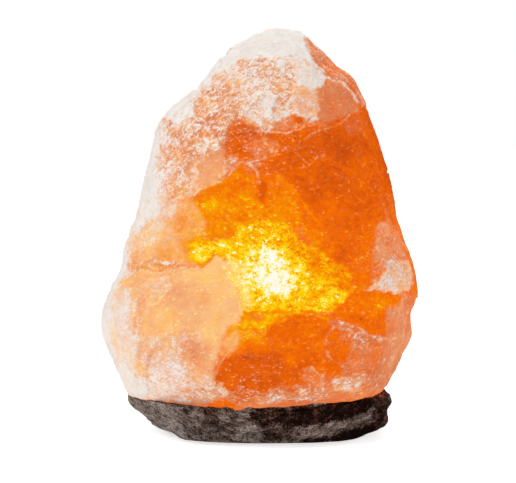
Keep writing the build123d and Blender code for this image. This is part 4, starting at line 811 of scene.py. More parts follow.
def centred(value, gain):
    return m.calc("MULTIPLY", m.calc("SUBTRACT", value, 0.5), gain)


def add(*values):
    total = values[0]
    for v in values[1:]:
        total = m.calc("ADD", total, v)
    return total


def times(*values):
    total = values[0]
    for v in values[1:]:
        total = m.calc("MULTIPLY", total, v)
    return total


vein_a = times(m.span(split_a, 0.022, 0.002), m.span(m.noise(80, 3), 0.50, 0.60))
vein_b = times(m.span(split_b, 0.060, 0.004), m.span(m.noise(150, 3), 0.50, 0.62))


def plates(tilt, stretch, scale, detail, rough, shift, warp):
    """Crystal plates: noise drawn out along a leaning line, with a second sample nearer the light for their lit edges."""
    out = []
    for loc in ((0.0, 0.0, 0.0), shift):
        lie = m.t.nodes.new("ShaderNodeMapping")
        lie.vector_type = "TEXTURE"
        lie.inputs["Location"].default_value = loc
        lie.inputs["Rotation"].default_value = (0.15, math.radians(tilt), 0.2)
        lie.inputs["Scale"].default_value = (stretch, 1.0, 1.0)
        m.feed(lie.inputs["Vector"], warp)
        out.append(m.noise(scale, detail, rough, 0.15, lie.outputs[0]))
    return out[0], m.calc("SUBTRACT", out[0], out[1])


fluff = m.warped(230, 0.0022, 3)
plate_a, edge_a = plates(-44, 1.55, 620, 5, 0.66, (0.00014, 0.0001, -0.00026), fluff)
plate_b, edge_b = plates(24, 1.4, 300, 5, 0.66, (0.00020, 0.0001, -0.00045), fluff)
plate_c, edge_c = plates(22, 1.6, 470, 6, 0.74, (0.00013, 0.0001, -0.00024), m.warped(240, 0.003, 4))
crack_d = m.voronoi(430, "DISTANCE_TO_EDGE", m.warped(300, 0.004, 5))
cracks = times(m.span(crack_d, 0.085, 0.0), m.span(m.noise(260, 4, 0.6), 0.40, 0.58))
# the plates' sides towards the light, less their far sides: painted highlight and painted shade
lit_relief = m.calc("MAXIMUM", m.calc("MINIMUM", add(times(edge_a, 5.0), times(edge_b, 4.0)), 1.0), -1.0)
coarse = m.span(grain_a, 0.0, 0.8, 0.22, 1.0, kind="LINEAR")
flecks = times(m.span(fleck_d, 0.42, 0.16), m.span(fleck_c, 0.56, 0.62))
shade = times(m.span(lit_relief, -0.12, -0.75), coarse)
d = add(deep_a, centred(cloud_a, 0.30), centred(cloud_b, 0.44), centred(cloud_c, 0.14), centred(cell_a, 0.05), centred(plate_b, 0.20), times(shade, 0.13),
        times(m.calc("SUBTRACT", 1.0, coarse), flecks, -0.30), times(m.span(milk_a, 0.45, 0.10), m.calc("SUBTRACT", 1.0, coarse), m.calc("SUBTRACT", 1.0, crackle_a), centred(plate_c, 1.25)),
        times(crackle_a, m.calc("MAXIMUM", add(centred(plate_c, 1.20), centred(foil, 0.45), centred(foil_c, 0.16), times(edge_c, -2.0), times(cracks, 0.32)), -0.105)))
d = m.calc("DIVIDE", m.calc("MAXIMUM", d, 0.0), 1.4)
CLEAR = [(0.00, (255, 255, 244)), (0.03, (255, 252, 180)), (0.07, (255, 236, 60)), (0.13, (255, 214, 12)), (0.21, (252, 180, 5)), (0.30, (248, 148, 5)),
         (0.40, (248, 122, 6)), (0.48, (243, 108, 7)), (0.57, (232, 97, 9)), (0.68, (212, 84, 14)), (0.95, (168, 52, 10))]
CLOUDY = [(0.00, (255, 250, 225)), (0.12, (253, 230, 154)), (0.25, (246, 206, 132)), (0.36, (240, 189, 128)), (0.46, (231, 165, 117)),
          (0.58, (216, 134, 91)), (0.75, (195, 106, 66)), (0.95, (163, 78, 47))]
mk = add(milk_a, centred(cloud_b, 0.7), centred(plate_b, 0.7), centred(cell_b, 0.08), times(vein_b, 0.2), times(rim_highlight_a, 0.4), -0.06)
mk = m.span(mk, 0.05, 0.92)
glow = m.mix(mk, m.ramp(d, CLEAR), m.ramp(d, CLOUDY))

soft = add(frost_a, times(m.span(coarse, 0.25, 0.75, 0.45, 1.0), add(centred(cloud_a, 0.30), centred(cloud_b, 0.38))))
slope_shading_a = m.attr("slope_shading")
crust = times(coarse, add(centred(plate_a, 2.0), centred(plate_b, 2.3), centred(fine, 1.1), times(lit_relief, 0.17)))
veil = m.span(add(soft, crust), 0.0, 0.96)
thin = m.calc("MINIMUM", add(times(flecks, m.span(grain_a, 0.10, 0.75, 0.11, 0.62)), times(vein_a, m.span(grain_a, 0.3, 0.8, 0.0, 0.22)),
                             times(vein_b, m.span(grain_a, 0.3, 0.8, 0.0, 0.20)), times(rim_highlight_a, 0.42)), 0.9)
white = m.calc("SUBTRACT", 1.0, times(m.calc("SUBTRACT", 1.0, veil), m.calc("SUBTRACT", 1.0, thin)))

body = m.mix(mk, m.ramp(d, [(0.0, (60, 30, 2)), (0.4, (52, 12, 0)), (0.9, (40, 8, 0))]),
             m.ramp(d, [(0.0, (120, 84, 46)), (0.45, (112, 60, 34)), (0.9, (96, 42, 20))]))
# the frosted skin's white, painted lighter on the plates' lit sides and darker on their shaded sides as painted
# highlight and shade, and varied by cloudy noise
skin_white_shaded = m.mix(m.span(add(centred(lit_relief, 0.5), centred(cloud_b, 1.2), centred(plate_b, 0.8)), -0.95, 0.45), lin(228, 218, 209), lin(255, 254, 252))
base = m.mix(white, body, m.mix(m.span(veil, 0.05, 0.45), lin(255, 208, 150), skin_white_shaded))
speck_d = m.voronoi(95, "F1", m.warped(400, 0.001))
speck_c = m.voronoi(95, "F1", m.warped(400, 0.001), out=1)
speck = times(m.span(speck_d, 0.055, 0.030), m.span(speck_c, 0.70, 0.72), 0.7)
base = m.mix(speck, base, lin(70, 34, 20))
# in coarse frosted places the gaps between bright flakes are painted a duller, browner shade
gap = times(m.span(grain_a, 0.25, 0.75), m.span(crust, 0.22, -0.30), m.span(deep_a, 0.42, 0.56))
glow = m.mix(gap, glow, m.mix(1.0, glow, (0.83, 0.81, 0.86, 1.0), "MULTIPLY"))
glow = m.mix(m.span(veil, 0.45, 1.0), glow, lin(255, 233, 216))
# emission strength carries painted shading too: brighter on slopes towards the key light and on the plates' lit sides,
# dimmer on their shaded sides
lit = times(m.calc("MULTIPLY_ADD", slope_shading_a, 0.07, 1.0), m.span(m.calc("MULTIPLY_ADD", thin, 0.36, veil), 0.0, 1.0, 0.98, 0.145, kind="LINEAR"), m.calc("SUBTRACT", 1.0, speck), m.span(times(lit_relief, coarse), -1.0, 1.0, 0.86, 1.10, kind="LINEAR"))
m.to(Base_Color=base, Emission_Color=glow, Emission_Strength=lit)
m.to(Specular_IOR_Level=m.span(white, 0.05, 0.7, 0.0, 0.20, kind="LINEAR"))
m.to(Roughness=m.span(add(white, centred(fine, 0.5)), 0.0, 1.0, 0.34, 0.62, kind="LINEAR"))
bumps = m.bump(fine, 0.12, 0.0004)
bumps = m.bump(plate_a, 0.30, 0.0009, bumps)
bumps = m.bump(cloud_b, 0.20, 0.003, bumps)
m.to(Normal=bumps)
dress(salt, m)

# ------------------------------------------------------------------ hewn base
wood = remeshed("hewn_base", 0.0007, "hewn_foot")
me = wood.data
P = get_co(me) * 1000
N = get_no(me)
edges = edges_of(me)
NS = relax(N, edges, 12)
NS /= np.linalg.norm(NS, axis=1)[:, None] + 1e-9
radial = np.stack([P[:, 0], P[:, 1] * 1.35], 1)
radial /= np.linalg.norm(radial, axis=1)[:, None] + 1e-9
outward = (NS[:, :2] * radial).sum(1)
size_in = (np.abs(P[:, 0]) / 66.0) ** 2.6 + (np.abs(P[:, 1] + 0.5) / 54.0) ** 2.6
groove = (np.abs(P[:, 0]) < 6.5) & (P[:, 1] > 10) & (P[:, 2] < 12.5)
side = smooth(0.15, 0.5, outward) * smooth(2.0, 4.5, P[:, 2]) * (size_in > 0.55) * ~groove
rim = smooth(0.3, 0.8, NS[:, 2]) * (P[:, 2] > 17.5) * (size_in > 0.80)
bowl = P[:, 2] - 0.55 * np.sqrt(P[:, 0] ** 2 + 400.0)
fibre = np.stack([P[:, 0] * 0.28, P[:, 1] * 0.28, bowl], 1)
hewn = facets(P, NS, 14.0, 0.22, (-0.3, 1.8), 81)
hewn_small = facets(P, NS, 5.5, 0.18, (-0.1, 0.55), 82)
move = -hewn - 0.8 * hewn_small + 1.0 * fbm(P, 16.0, 83, 3) + 0.55 * fbm(fibre, 4.0, 84, 4)
U, V = to_picture(P)
UR = U + 2.0 * fbm(P, 7.0, 85)
VR = V + 2.0 * fbm(P, 7.0, 86)
view_dir = np.stack([(LOOK_X * 1000 - P[:, 0]), (-DISTANCE * 1000 * CE - P[:, 1]), (LOOK_Z * 1000 + DISTANCE * 1000 * SE - P[:, 2])], 1)
view_dir /= np.linalg.norm(view_dir, axis=1)[:, None]
front = smooth(-0.05, 0.2, (NS * view_dir).sum(1)) * (side + rim > 0.02)
ridge = line_distance(UR, VR, [(262, 437), (290, 437), (320, 432), (345, 424), (366, 414), (380, 404)])
hill = np.hypot(UR - 247, (VR - 428) * 1.3)
move += 1.5 * np.exp(-(ridge / 3.2) ** 2) * front + 1.6 * np.exp(-(hill / 14.0) ** 2) * front
move -= 1.6 * smooth(4, -4, polygon_distance(UR, VR, [(256, 410), (300, 408), (345, 401), (370, 396), (366, 410), (340, 420), (310, 426), (280, 424), (262, 418)])) * front
move -= 2.2 * smooth(3, -3, polygon_distance(UR, VR, [(300, 439), (330, 437), (352, 430), (372, 422), (360, 440), (340, 446), (300, 446)])) * front
move -= 0.8 * smooth(5, -5, polygon_distance(UR, VR, [(182, 404), (212, 406), (214, 438), (186, 438)])) * front
shift = NS * (move * side)[:, None]
shift[:, 2] += rim * (0.5 * fbm(P, 9.0, 87, 3) - 0.15) * (side < 0.2)
P = P + shift
# outline of the base in the photograph: row, left edge, right edge; and its lower edge, column by column
P[:, 0] += fit_outline(P, [(392, 127, 389), (397, 127, 391), (402, 128, 392), (407, 132, 390), (411, 137, 388), (415, 141, 388), (419, 146, 389), (423, 151, 388), (427, 156, 384)],
                       2.0, 30.0, 5.0) * side * smooth(2.5, 6.0, P[:, 2])
LOWER = [(130, 402), (134, 407), (142, 415), (152, 424), (162, 430), (172, 433.5), (182, 436), (200, 438.5), (227, 441), (256, 443.3), (300, 444), (344, 442), (354, 440.5), (363, 438), (373, 434), (382, 429), (390, 419)]
lower = np.array(LOWER)
U, V = to_picture(P)
cols = np.arange(130, 391, 5.0)
gap = np.zeros(len(cols))
outer = (size_in > 0.62) & ~groove & (P[:, 1] < 20)
for k, c in enumerate(cols):
    near = outer & (np.abs(U - c) < 2.8)
    if near.sum() > 4:
        gap[k] = np.interp(c, lower[:, 0], lower[:, 1]) - V[near].max()
gap = np.convolve(np.pad(gap, 1, mode="edge"), [0.25, 0.5, 0.25], "valid")
up = np.interp(U, cols, gap)
close = np.clip(1 - (np.interp(U, lower[:, 0], lower[:, 1]) - np.interp(U, cols, gap) - V) / 26.0, 0, 1)
may = np.maximum(smooth(0.55, 0.80, size_in), smooth(41.0, 47.0, np.abs(P[:, 0])))
P[:, 2] += np.clip(-up, -6, 14) * 0.52 * close * may * ~groove * smooth(44.0, 30.0, P[:, 1])
# its upper edge, column by column
UPPER = [(128, 391), (134, 392.5), (142, 395), (152, 398), (162, 400.5), (172, 402.3), (182, 403.5), (192, 404.8), (206, 405.6), (222, 406.3), (242, 407), (262, 407),
         (282, 406.2), (302, 405), (312, 404), (322, 403), (332, 401.6), (342, 400.8), (352, 399.4), (362, 397.5), (370, 394.2), (378, 390.5), (386, 388.5)]
upper = np.array(UPPER)
U, V = to_picture(P)
lip = (size_in > 0.80) & (P[:, 2] > 15) & (P[:, 1] < 14)
raise_by = np.zeros(len(cols))
for k, c in enumerate(cols):
    near = lip & (np.abs(U - c) < 2.8)
    if near.sum() > 4:
        raise_by[k] = V[near].min() - np.interp(c, upper[:, 0], upper[:, 1])
raise_by[cols < 152] = raise_by[np.searchsorted(cols, 155)] + 0.8
ends = (cols > 360) & (cols < 384)
raise_by[ends] = np.maximum(raise_by[ends], 5.5)
raise_by += 3.2 * smooth(304, 322, cols) * smooth(364, 350, cols) + 5.0 * smooth(226, 240, cols) * smooth(258, 244, cols)
raise_by = np.convolve(np.pad(raise_by, 1, mode="edge"), [0.25, 0.5, 0.25], "valid")
P[:, 2] += np.clip(np.interp(U, cols, raise_by), -2.0, 8.0) * 0.5 * smooth(12.0, 19.5, P[:, 2]) * smooth(0.66, 0.80, size_in) * smooth(34.0, 12.0, P[:, 1])
lo, hi = (np.array(v) * 1000 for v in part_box("hewn_base"))
P = np.clip(P, lo, hi + (0, 0, 3.6))
eased = relax(P, edges, 4)
P += (eased - P) * (smooth(0.50, 0.62, size_in) * ~groove)[:, None]
for _ in range(3):
    P[:, 0] += fit_outline(P, [(390, 128, 386), (392, 128, 389), (396, 127.5, 391), (402, 128, 392), (404, 129, 391.5), (406, 131, 390.5), (408, 133, 389), (410, 135, 388),
                               (412, 138, 387.5), (416, 143, 388), (420, 147, 388.5), (424, 151, 387.5), (426, 154, 385.5), (428, 157, 383), (430, 161, 380), (432, 167, 375.5), (434, 172, 370)],
                           2.0, 24.0, 3.0) * ~groove
P = np.clip(P, lo, hi + (0, 0, 3.6))
set_co(me, P / 1000)
N = get_no(me)
U, V = to_picture(P)
UR = U + 2.0 * fbm(P, 7.0, 85)
VR = V + 2.0 * fbm(P, 7.0, 86)
# the base's tone also carries painted light: faces turned to the left, towards the key light, are painted paler and
# faces turned to the right darker
tone_and_light = 0.36 + 0.45 * fbm(P, 20.0, 89, 3) + 0.3 * smooth(0.2, 1.0, -NS[:, 0]) - 0.25 * smooth(0.2, 1.0, NS[:, 0])
warm_and_glow = 0.15 + 0.4 * fbm(P, 22.0, 90, 2)
# tones painted over the base's front: outline, edge width in px, tone, warmth; the darkest patches, along the lower
# right edge and in a band just under the salt on the right, are painted shade, and the warm reddish band along the left
# rim is the salt's glow painted on
BASE_FACE = [
    ([(110, 380), (186, 404), (186, 446), (120, 446)], 6.0, 0.60, 0.02),
    ([(182, 402), (214, 406), (220, 446), (186, 446)], 6.0, 0.38, 0.07),
    ([(214, 404), (240, 406), (238, 446), (216, 446)], 6.0, 0.40, 0.10),
    ([(186, 406), (214, 408), (214, 424), (190, 424)], 4.0, 0.50, 0.05),
    ([(234, 418), (250, 416), (266, 424), (268, 440), (246, 444), (236, 436)], 5.0, 0.62, 0.05),
    ([(262, 420), (300, 424), (296, 444), (264, 444)], 6.0, 0.34, 0.25),
    ([(252, 406), (300, 405), (345, 398), (374, 392), (374, 408), (350, 418), (318, 426), (290, 424), (262, 418)], 4.0, -0.03, 0.58),
    ([(258, 406), (292, 406), (292, 420), (266, 418)], 4.0, 0.12, 0.45),
    ([(248, 412), (262, 414), (276, 422), (262, 428), (250, 420)], 3.0, 0.10, 0.40),
    ([(300, 428), (345, 420), (374, 408), (380, 416), (350, 430), (318, 438), (300, 438)], 4.0, 0.52, 0.15),
    ([(300, 440), (330, 438), (352, 431), (372, 424), (388, 420), (368, 436), (340, 448), (300, 448)], 3.0, -0.16, 0.45),
    ([(372, 386), (394, 384), (398, 410), (390, 412), (376, 410)], 3.0, 0.13, 0.62),
    ([(372, 412), (392, 410), (394, 424), (376, 434)], 3.0, 0.16, 0.60),
    ([(126, 388), (150, 393), (190, 402), (186, 406), (150, 401), (128, 396)], 2.0, 0.24, 0.95),
]
for outline, width, a, b in BASE_FACE:
    w = smooth(width, -width, polygon_distance(UR, VR, outline)) * front
    tone_and_light += (a + 0.10 * fbm(P, 9.0, 91, 3) - tone_and_light) * w
    warm_and_glow += (b - warm_and_glow) * w
put_field(me, "tone_and_light", tone_and_light)
put_field(me, "warm_and_glow", warm_and_glow)
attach(wood, "lamp")
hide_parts("hewn_base")

m = Mat("hewn_dark_wood", Roughness=0.55, Specular_IOR_Level=0.22)
split_xyz = m.t.nodes.new("ShaderNodeSeparateXYZ")
m.feed(split_xyz.inputs[0], m.coord)
reach = m.calc("SQRT", m.calc("ADD", m.calc("MULTIPLY", split_xyz.outputs[0], split_xyz.outputs[0]), 0.0004))
level = m.calc("SUBTRACT", split_xyz.outputs[2], m.calc("MULTIPLY", reach, 0.55))
join = m.t.nodes.new("ShaderNodeCombineXYZ")
m.feed(join.inputs[0], m.calc("MULTIPLY", split_xyz.outputs[0], 0.30))
m.feed(join.inputs[1], m.calc("MULTIPLY", split_xyz.outputs[1], 0.30))
m.feed(join.inputs[2], level)
along = m.vec("ADD", join.outputs[0], m.vec("MULTIPLY", m.vec("SUBTRACT", m.noise(140, 4, out=1), (0.5, 0.5, 0.5)), (0.006, 0.006, 0.006)))
fib = m.noise(1100, 6, 0.66, 0.3, along)
fib2 = m.noise(420, 5, 0.62, 0.6, along)
grit = m.noise(1500, 4, 0.66)
lumps = m.noise(300, 5, 0.62, 0.4)
pit = m.voronoi(700, "F1", m.warped(500, 0.0015))
pa = m.calc("ADD", m.attr("tone_and_light"), m.calc("MULTIPLY", m.calc("SUBTRACT", fib, 0.5), 1.25))
pa = m.calc("ADD", pa, m.calc("MULTIPLY", m.calc("SUBTRACT", fib2, 0.5), 1.10))
pa = m.calc("ADD", pa, m.calc("MULTIPLY", m.calc("SUBTRACT", grit, 0.5), 1.70))
pa = m.calc("ADD", pa, m.calc("MULTIPLY", m.calc("SUBTRACT", lumps, 0.5), 1.10))
dark = m.ramp(pa, [(0.0, (18, 7, 4)), (0.16, (48, 28, 21)), (0.34, (86, 64, 54)), (0.52, (121, 103, 95)), (0.72, (156, 141, 134)), (0.98, (210, 199, 191))])
warm_and_glow_c = m.ramp(pa, [(0.0, (22, 7, 3)), (0.2, (58, 26, 15)), (0.45, (100, 52, 34)), (0.8, (160, 108, 80))])
col = m.mix(m.span(m.calc("ADD", m.attr("warm_and_glow"), m.calc("MULTIPLY", m.calc("SUBTRACT", lumps, 0.5), 0.9)), 0.20, 0.85), dark, warm_and_glow_c)
col = m.mix(m.calc("MULTIPLY", m.span(pit, 0.22, 0.08), 0.6), col, lin(18, 11, 9))
m.to(Base_Color=col, Roughness=m.span(m.calc("ADD", m.calc("MULTIPLY", fib, 0.5), m.calc("MULTIPLY", lumps, 0.5)), 0.3, 0.7, 0.45, 0.75, kind="LINEAR"),
     Specular_IOR_Level=m.span(pa, 0.1, 0.6, 0.04, 0.30))
b1 = m.bump(fib, 0.45, 0.0008)
b1 = m.bump(lumps, 0.45, 0.0020, b1)
b1 = m.bump(grit, 0.30, 0.0005, b1)
m.to(Normal=b1)
dress(wood, m)


# ------------------------------------------------------------------ finishes of the carried-over pieces
def metal(name, dark_c, light_c, rough=(0.25, 0.42), grain=(1.0, 1.0, 1.0), scale=600):
    m = Mat(name, Metallic=1.0)
    g = m.t.nodes.new("ShaderNodeMapping")
    g.inputs["Scale"].default_value = grain
    m.feed(g.inputs["Vector"], m.coord)
    brush = m.noise(scale, 5, 0.6, 0.0, g.outputs[0])
    blot = m.noise(110, 4, 0.6, 0.6)
    col = m.mix(m.span(blot, 0.35, 0.68), lin(*dark_c), lin(*light_c))
    col = m.mix(m.span(brush, 0.62, 0.40, 0.0, 0.22), col, lin(*(c * 0.62 for c in dark_c)))
    m.to(Base_Color=col, Roughness=m.span(m.calc("ADD", m.calc("MULTIPLY", brush, 0.6), m.calc("MULTIPLY", blot, 0.4)), 0.3, 0.7, *rough, kind="LINEAR"))
    m.to(Normal=m.bump(brush, 0.12, 0.0003))
    return m


def moulded(name, dark_c, light_c, rough=(0.3, 0.5), scale=900, depth=0.0004, **plain):
    m = Mat(name, **plain)
    pore = m.noise(scale, 4, 0.6)
    cloud = m.noise(90, 4, 0.55, 0.5)
    dust = m.span(m.noise(380, 6, 0.7), 0.58, 0.74)
    col = m.mix(m.span(cloud, 0.3, 0.7), lin(*dark_c), lin(*light_c))
    col = m.mix(m.calc("MULTIPLY", dust, 0.25), col, lin(*(min(255, c * 1.5 + 28) for c in light_c)))
    m.to(Base_Color=col, Roughness=m.span(m.calc("ADD", m.calc("MULTIPLY", pore, 0.5), m.calc("MULTIPLY", cloud, 0.5)), 0.3, 0.7, *rough, kind="LINEAR"))
    m.to(Normal=m.bump(pore, 0.22, depth))
    return m


zinc = metal("zinc_steel", (150, 152, 158), (206, 208, 206), (0.24, 0.42))
sprung = metal("spring_steel", (146, 146, 142), (196, 196, 190), (0.2, 0.38), (1.0, 1.0, 0.06), 1400)
brass = metal("contact_brass", (158, 118, 58), (216, 178, 104), (0.22, 0.4))
cap_brass = metal("cap_brass", (176, 142, 84), (226, 198, 138), (0.2, 0.36), (1.0, 1.0, 0.25))
solder = metal("solder_tip", (128, 130, 134), (188, 190, 192), (0.26, 0.5), scale=900)
wire = metal("wire_steel", (140, 140, 136), (186, 186, 180), (0.25, 0.4))
phenolic = moulded("black_phenolic", (10, 9, 9), (26, 23, 22), (0.22, 0.42), 1200, 0.0002)
nylon = moulded("grey_nylon", (122, 122, 118), (152, 151, 146), (0.42, 0.6))
rubber = moulded("pad_rubber", (20, 20, 21), (38, 38, 39), (0.7, 0.9), 1600, 0.0005)
black_glass = moulded("black_glass", (8, 8, 12), (22, 22, 30), (0.06, 0.16), 500, 0.0001)

m = Mat("clear_glass", Transmission_Weight=1.0, IOR=1.5)
m.to(Base_Color=m.mix(m.span(m.noise(60, 3), 0.3, 0.7), lin(250, 248, 240), lin(255, 255, 255)),
     Roughness=m.span(m.noise(240, 4), 0.35, 0.7, 0.015, 0.07, kind="LINEAR"))
m.to(Normal=m.bump(m.noise(70, 2), 0.05, 0.001))
glass = m
m = Mat("stem_glass", Transmission_Weight=0.9, IOR=1.5)
m.to(Base_Color=m.mix(m.span(m.noise(120, 3), 0.3, 0.7), lin(226, 236, 232), lin(244, 248, 246)),
     Roughness=m.span(m.noise(300, 4), 0.35, 0.7, 0.05, 0.2, kind="LINEAR"))
m.to(Normal=m.bump(m.noise(160, 3), 0.15, 0.0008))
stem_glass = m
m = Mat("filament_wire", Roughness=0.4)
hot = m.noise(700, 4, 0.6)
m.to(Base_Color=m.mix(hot, lin(255, 214, 140), lin(255, 232, 180)), Emission_Color=m.mix(hot, lin(255, 196, 104), lin(255, 228, 170)), Emission_Strength=m.span(hot, 0.2, 0.8, 9.0, 16.0, kind="LINEAR"))
m.to(Normal=m.bump(hot, 0.1, 0.0001))
filament_mat = m

FINISH = {"foot_pads": rubber, "salt_screws": zinc, "screw_washers": zinc, "screw_plugs": nylon, "lampholder_body": phenolic,
          "lampholder_cap": phenolic, "clamp_ring": phenolic, "entry_clamp": nylon, "entry_clamp_screws": zinc, "screw_shell": brass,
          "contact_leaf": brass, "terminal_blocks": brass, "terminal_screws": zinc, "clip_plate": sprung, "clip_leaf_left": sprung,
          "clip_leaf_right": sprung, "bulb_tip": solder, "bulb_insulator": black_glass, "bulb_cap": cap_brass, "bulb_glass": glass,
          "bulb_stem": stem_glass, "bulb_lead_wires": wire, "filament_supports": wire, "bulb_filament": filament_mat,
          "salt_crystal": bpy.data.materials["rock_salt"], "hewn_base": bpy.data.materials["hewn_dark_wood"]}
for node, mat in FINISH.items():
    if node in NODES:
        dress(NODES[node], mat)


# ------------------------------------------------------------------ screw threads, drawn as true helices
def threaded(name, profile, z0, z1, pitch, around=96, along=0.18):
    """A thin threaded sleeve. profile(phase) gives outer and inner radius in mm; open rings are closed to a wall."""
    steps = int((z1 - z0) / along)
    verts, faces = [], []
    for k in range(steps + 1):
        z = z0 + (z1 - z0) * k / steps
        ends = smooth(0, 1.3, np.array([z - z0]))[0] * smooth(0, 1.3, np.array([z1 - z]))[0]
        for i in range(around):
            a = 2 * math.pi * i / around
            ro, ri = profile(((z - z0) / pitch - i / around) % 1.0, ends)
            verts.append((ro * math.cos(a), ro * math.sin(a), z))
            verts.append((ri * math.cos(a), ri * math.sin(a), z))
    row = around * 2
    for k in range(steps):
        for i in range(around):
            j = (i + 1) % around
            a, b, c, d = k * row + 2 * i, k * row + 2 * j, (k + 1) * row + 2 * j, (k + 1) * row + 2 * i
            faces.append((a, b, c, d))
            faces.append((a + 1, d + 1, c + 1, b + 1))
    for i in range(around):
        j = (i + 1) % around
        faces.append((2 * i, 2 * i + 1, 2 * j + 1, 2 * j))
        t = steps * row
        faces.append((t + 2 * i, t + 2 * j, t + 2 * j + 1, t + 2 * i + 1))
    me = bpy.data.meshes.new(name)
    me.from_pydata([(x * MM, y * MM, z * MM) for x, y, z in verts], [], faces)
    me.polygons.foreach_set("use_smooth", [True] * len(me.polygons))
    me.update()
    ob = bpy.data.objects.new(name, me)
    scene.collection.objects.link(ob)
    return ob


def turned_mesh(name, loop, around=96):
    """A closed ring turned about Z from a closed radius and height outline in mm."""
    verts, faces, n = [], [], len(loop)
    for i in range(around):
        a = 2 * math.pi * i / around
        verts += [(r * math.cos(a) * MM, r * math.sin(a) * MM, z * MM) for r, z in loop]
    for i in range(around):
        for k in range(n):
            a, b = i * n + k, i * n + (k + 1) % n
            c, d = ((i + 1) % around) * n + (k + 1) % n, ((i + 1) % around) * n + k
            faces.append((a, d, c, b))
    me = bpy.data.meshes.new(name)
    me.from_pydata(verts, [], faces)
    me.update()
    bm = bmesh.new()
    bm.from_mesh(me)
    bmesh.ops.recalc_face_normals(bm, faces=bm.faces)
    bm.to_mesh(me)
    bm.free()
    me.polygons.foreach_set("use_smooth", [True] * len(me.polygons))
    ob = bpy.data.objects.new(name, me)
    scene.collection.objects.link(ob)
    return ob


def joined(name, parts):
    """Several meshes as one object."""
    bm = bmesh.new()
    for ob in parts:
        bm.from_mesh(ob.data)
    me = bpy.data.meshes.new(name)
    bm.to_mesh(me)
    bm.free()
    for ob in parts:
        old = ob.data
        bpy.data.objects.remove(ob)
        bpy.data.meshes.remove(old)
    ob = bpy.data.objects.new(name, me)
    scene.collection.objects.link(ob)
    return ob


def rounded(phase):
    return 0.5 + 0.5 * math.cos(2 * math.pi * (phase - 0.5))


cap_lo, cap_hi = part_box("bulb_cap")
R_TOP = cap_hi[0] * 1000
thread_part = threaded("cap_thread", lambda ph, e: (6.25 + 0.62 * rounded(ph) * e, 5.95 + 0.62 * rounded(ph) * e), 39.3, 53.2, 2.822)
skirt = turned_mesh("cap_skirt", [(6.25, 53.1), (6.6, 53.5), (7.6, 54.2), (R_TOP - 0.15, 54.9), (R_TOP - 0.02, 55.6), (R_TOP - 0.02, 59.6), (R_TOP - 0.1, 60.2),
                                  (R_TOP - 0.3, 60.45), (R_TOP - 0.42, 60.2), (R_TOP - 0.42, 55.6), (7.4, 54.6), (6.3, 53.9), (5.9, 53.3)])
shell = joined("bulb_screw_cap", [thread_part, skirt])
shell.data.polygons.foreach_set("use_smooth", [True] * len(shell.data.polygons))
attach(shell, "bulb")
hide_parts("bulb_cap")
dress(shell, cap_brass)

# coiled filament along its arc
coil = bpy.data.curves.new("coiled_filament", "CURVE")
coil.dimensions = "3D"
coil.bevel_depth = 0.00009
coil.bevel_resolution = 2
coil.use_fill_caps = True
turns, per = 30, 14
pts = []
for i in range(turns * per + 1):
    t = i / (turns * per)
    a = math.pi * (0.5 - t) * 0.62
    rad = 9.3
    x = -rad * math.sin(a) * 7.35 / (rad * math.sin(math.pi * 0.31))
    zc = 91.55 + 1.75 * (math.cos(a) - math.cos(math.pi * 0.31)) / (1 - math.cos(math.pi * 0.31))
    w = 2 * math.pi * i / per
    pts.append((x * MM, 0.27 * math.cos(w) * MM, (zc + 0.27 * math.sin(w)) * MM))
sp = coil.splines.new("POLY")
sp.points.add(len(pts) - 1)
for q, c in zip(sp.points, pts):
    q.co = (*c, 1.0)
coil_ob = bpy.data.objects.new("coiled_filament_tmp", coil)
scene.collection.objects.link(coil_ob)
bpy.context.view_layer.update()
coil_me = bpy.data.meshes.new_from_object(coil_ob.evaluated_get(bpy.context.evaluated_depsgraph_get()))
bpy.data.objects.remove(coil_ob)
bpy.data.curves.remove(coil)
filament = bpy.data.objects.new("coiled_filament", coil_me)
coil_me.name = "coiled_filament"
scene.collection.objects.link(filament)
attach(filament, "bulb")
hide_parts("bulb_filament")
dress(filament, filament_mat)

# ------------------------------------------------------------------ floor, light and background
bpy.ops.mesh.primitive_grid_add(x_subdivisions=2, y_subdivisions=2, size=6.0, location=(0, 0, 0))
floor = bpy.context.active_object
floor.name = "studio_floor"
m = Mat("floor_white", Roughness=0.7)
m.to(Base_Color=m.mix(m.span(m.noise(6, 3), 0.3, 0.7), lin(250, 250, 250), lin(253, 253, 253)))
m.to(Emission_Color=m.mix(m.span(m.noise(6, 3), 0.3, 0.7), lin(255, 255, 255), lin(254, 254, 254)))
eye = m.t.nodes.new("ShaderNodeLightPath")
below = m.t.nodes.new("ShaderNodeVectorMath")
below.operation = "LENGTH"
m.feed(below.inputs[0], m.vec("MULTIPLY", m.coord, (25.0, 33.0, 0.0)))
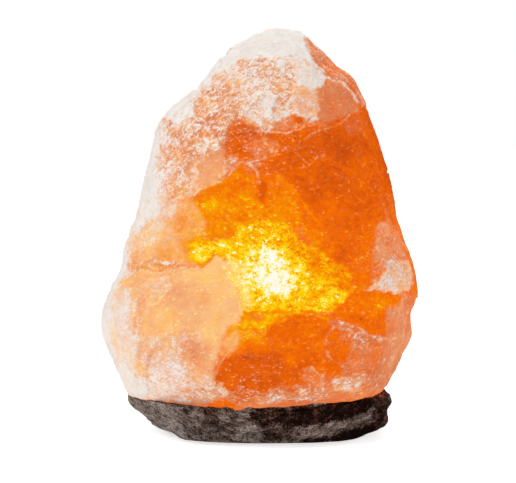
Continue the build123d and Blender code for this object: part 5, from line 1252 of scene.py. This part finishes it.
# the floor's glow fades out in an ellipse under the lamp, a painted dark patch where the lamp's shadow falls
outside_shade_patch = m.span(below.outputs["Value"], 0.98, 1.30)
m.to(Emission_Strength=m.calc("MULTIPLY", m.calc("MULTIPLY_ADD", eye.outputs["Is Camera Ray"], 0.62, 0.12), outside_shade_patch))
# seen from below the floor isn't there, so that the underside shows
side_node = m.t.nodes.new("ShaderNodeNewGeometry")
m.to(Alpha=m.calc("SUBTRACT", 1.0, side_node.outputs["Backfacing"]))
dress(floor, m)

world = bpy.data.worlds.new("studio")
world.use_nodes = True
wt = world.node_tree
wt.nodes.clear()
out = wt.nodes.new("ShaderNodeOutputWorld")
mixer = wt.nodes.new("ShaderNodeMixShader")
lit = wt.nodes.new("ShaderNodeBackground")
lit.inputs[0].default_value = (1.0, 0.99, 0.98, 1)
lit.inputs[1].default_value = 0.44
seen = wt.nodes.new("ShaderNodeBackground")
seen.inputs[0].default_value = (1, 1, 1, 1)
seen.inputs[1].default_value = 1.0
path = wt.nodes.new("ShaderNodeLightPath")
wt.links.new(path.outputs["Is Camera Ray"], mixer.inputs[0])
wt.links.new(lit.outputs[0], mixer.inputs[1])
wt.links.new(seen.outputs[0], mixer.inputs[2])
wt.links.new(mixer.outputs[0], out.inputs[0])
scene.world = world


def softbox(name, at, target, size, power, colour=(1, 1, 1)):
    light = bpy.data.lights.new(name, "AREA")
    light.shape = "DISK"
    light.size = size
    light.energy = power
    light.color = colour
    ob = bpy.data.objects.new(name, light)
    ob.location = at
    ob.rotation_euler = (Vector(target) - Vector(at)).to_track_quat("-Z", "Y").to_euler()
    scene.collection.objects.link(ob)


softbox("key", (-0.75, -0.55, 0.85), (0, 0, 0.1), 0.55, 3.4)
softbox("top", (0.1, 0.15, 1.1), (0, 0, 0.1), 0.7, 1.8)
softbox("fill", (0.9, -0.7, 0.45), (0, 0, 0.1), 0.8, 0.9)
softbox("rear", (0.2, 0.95, 0.6), (0, 0, 0.1), 0.7, 1.2)

scene.view_settings.view_transform = "Standard"
scene.view_settings.look = "None"
scene.view_settings.exposure = 0.0
scene.view_settings.gamma = 1.0
scene.cycles.use_denoising = True
scene.cycles.max_bounces = 8
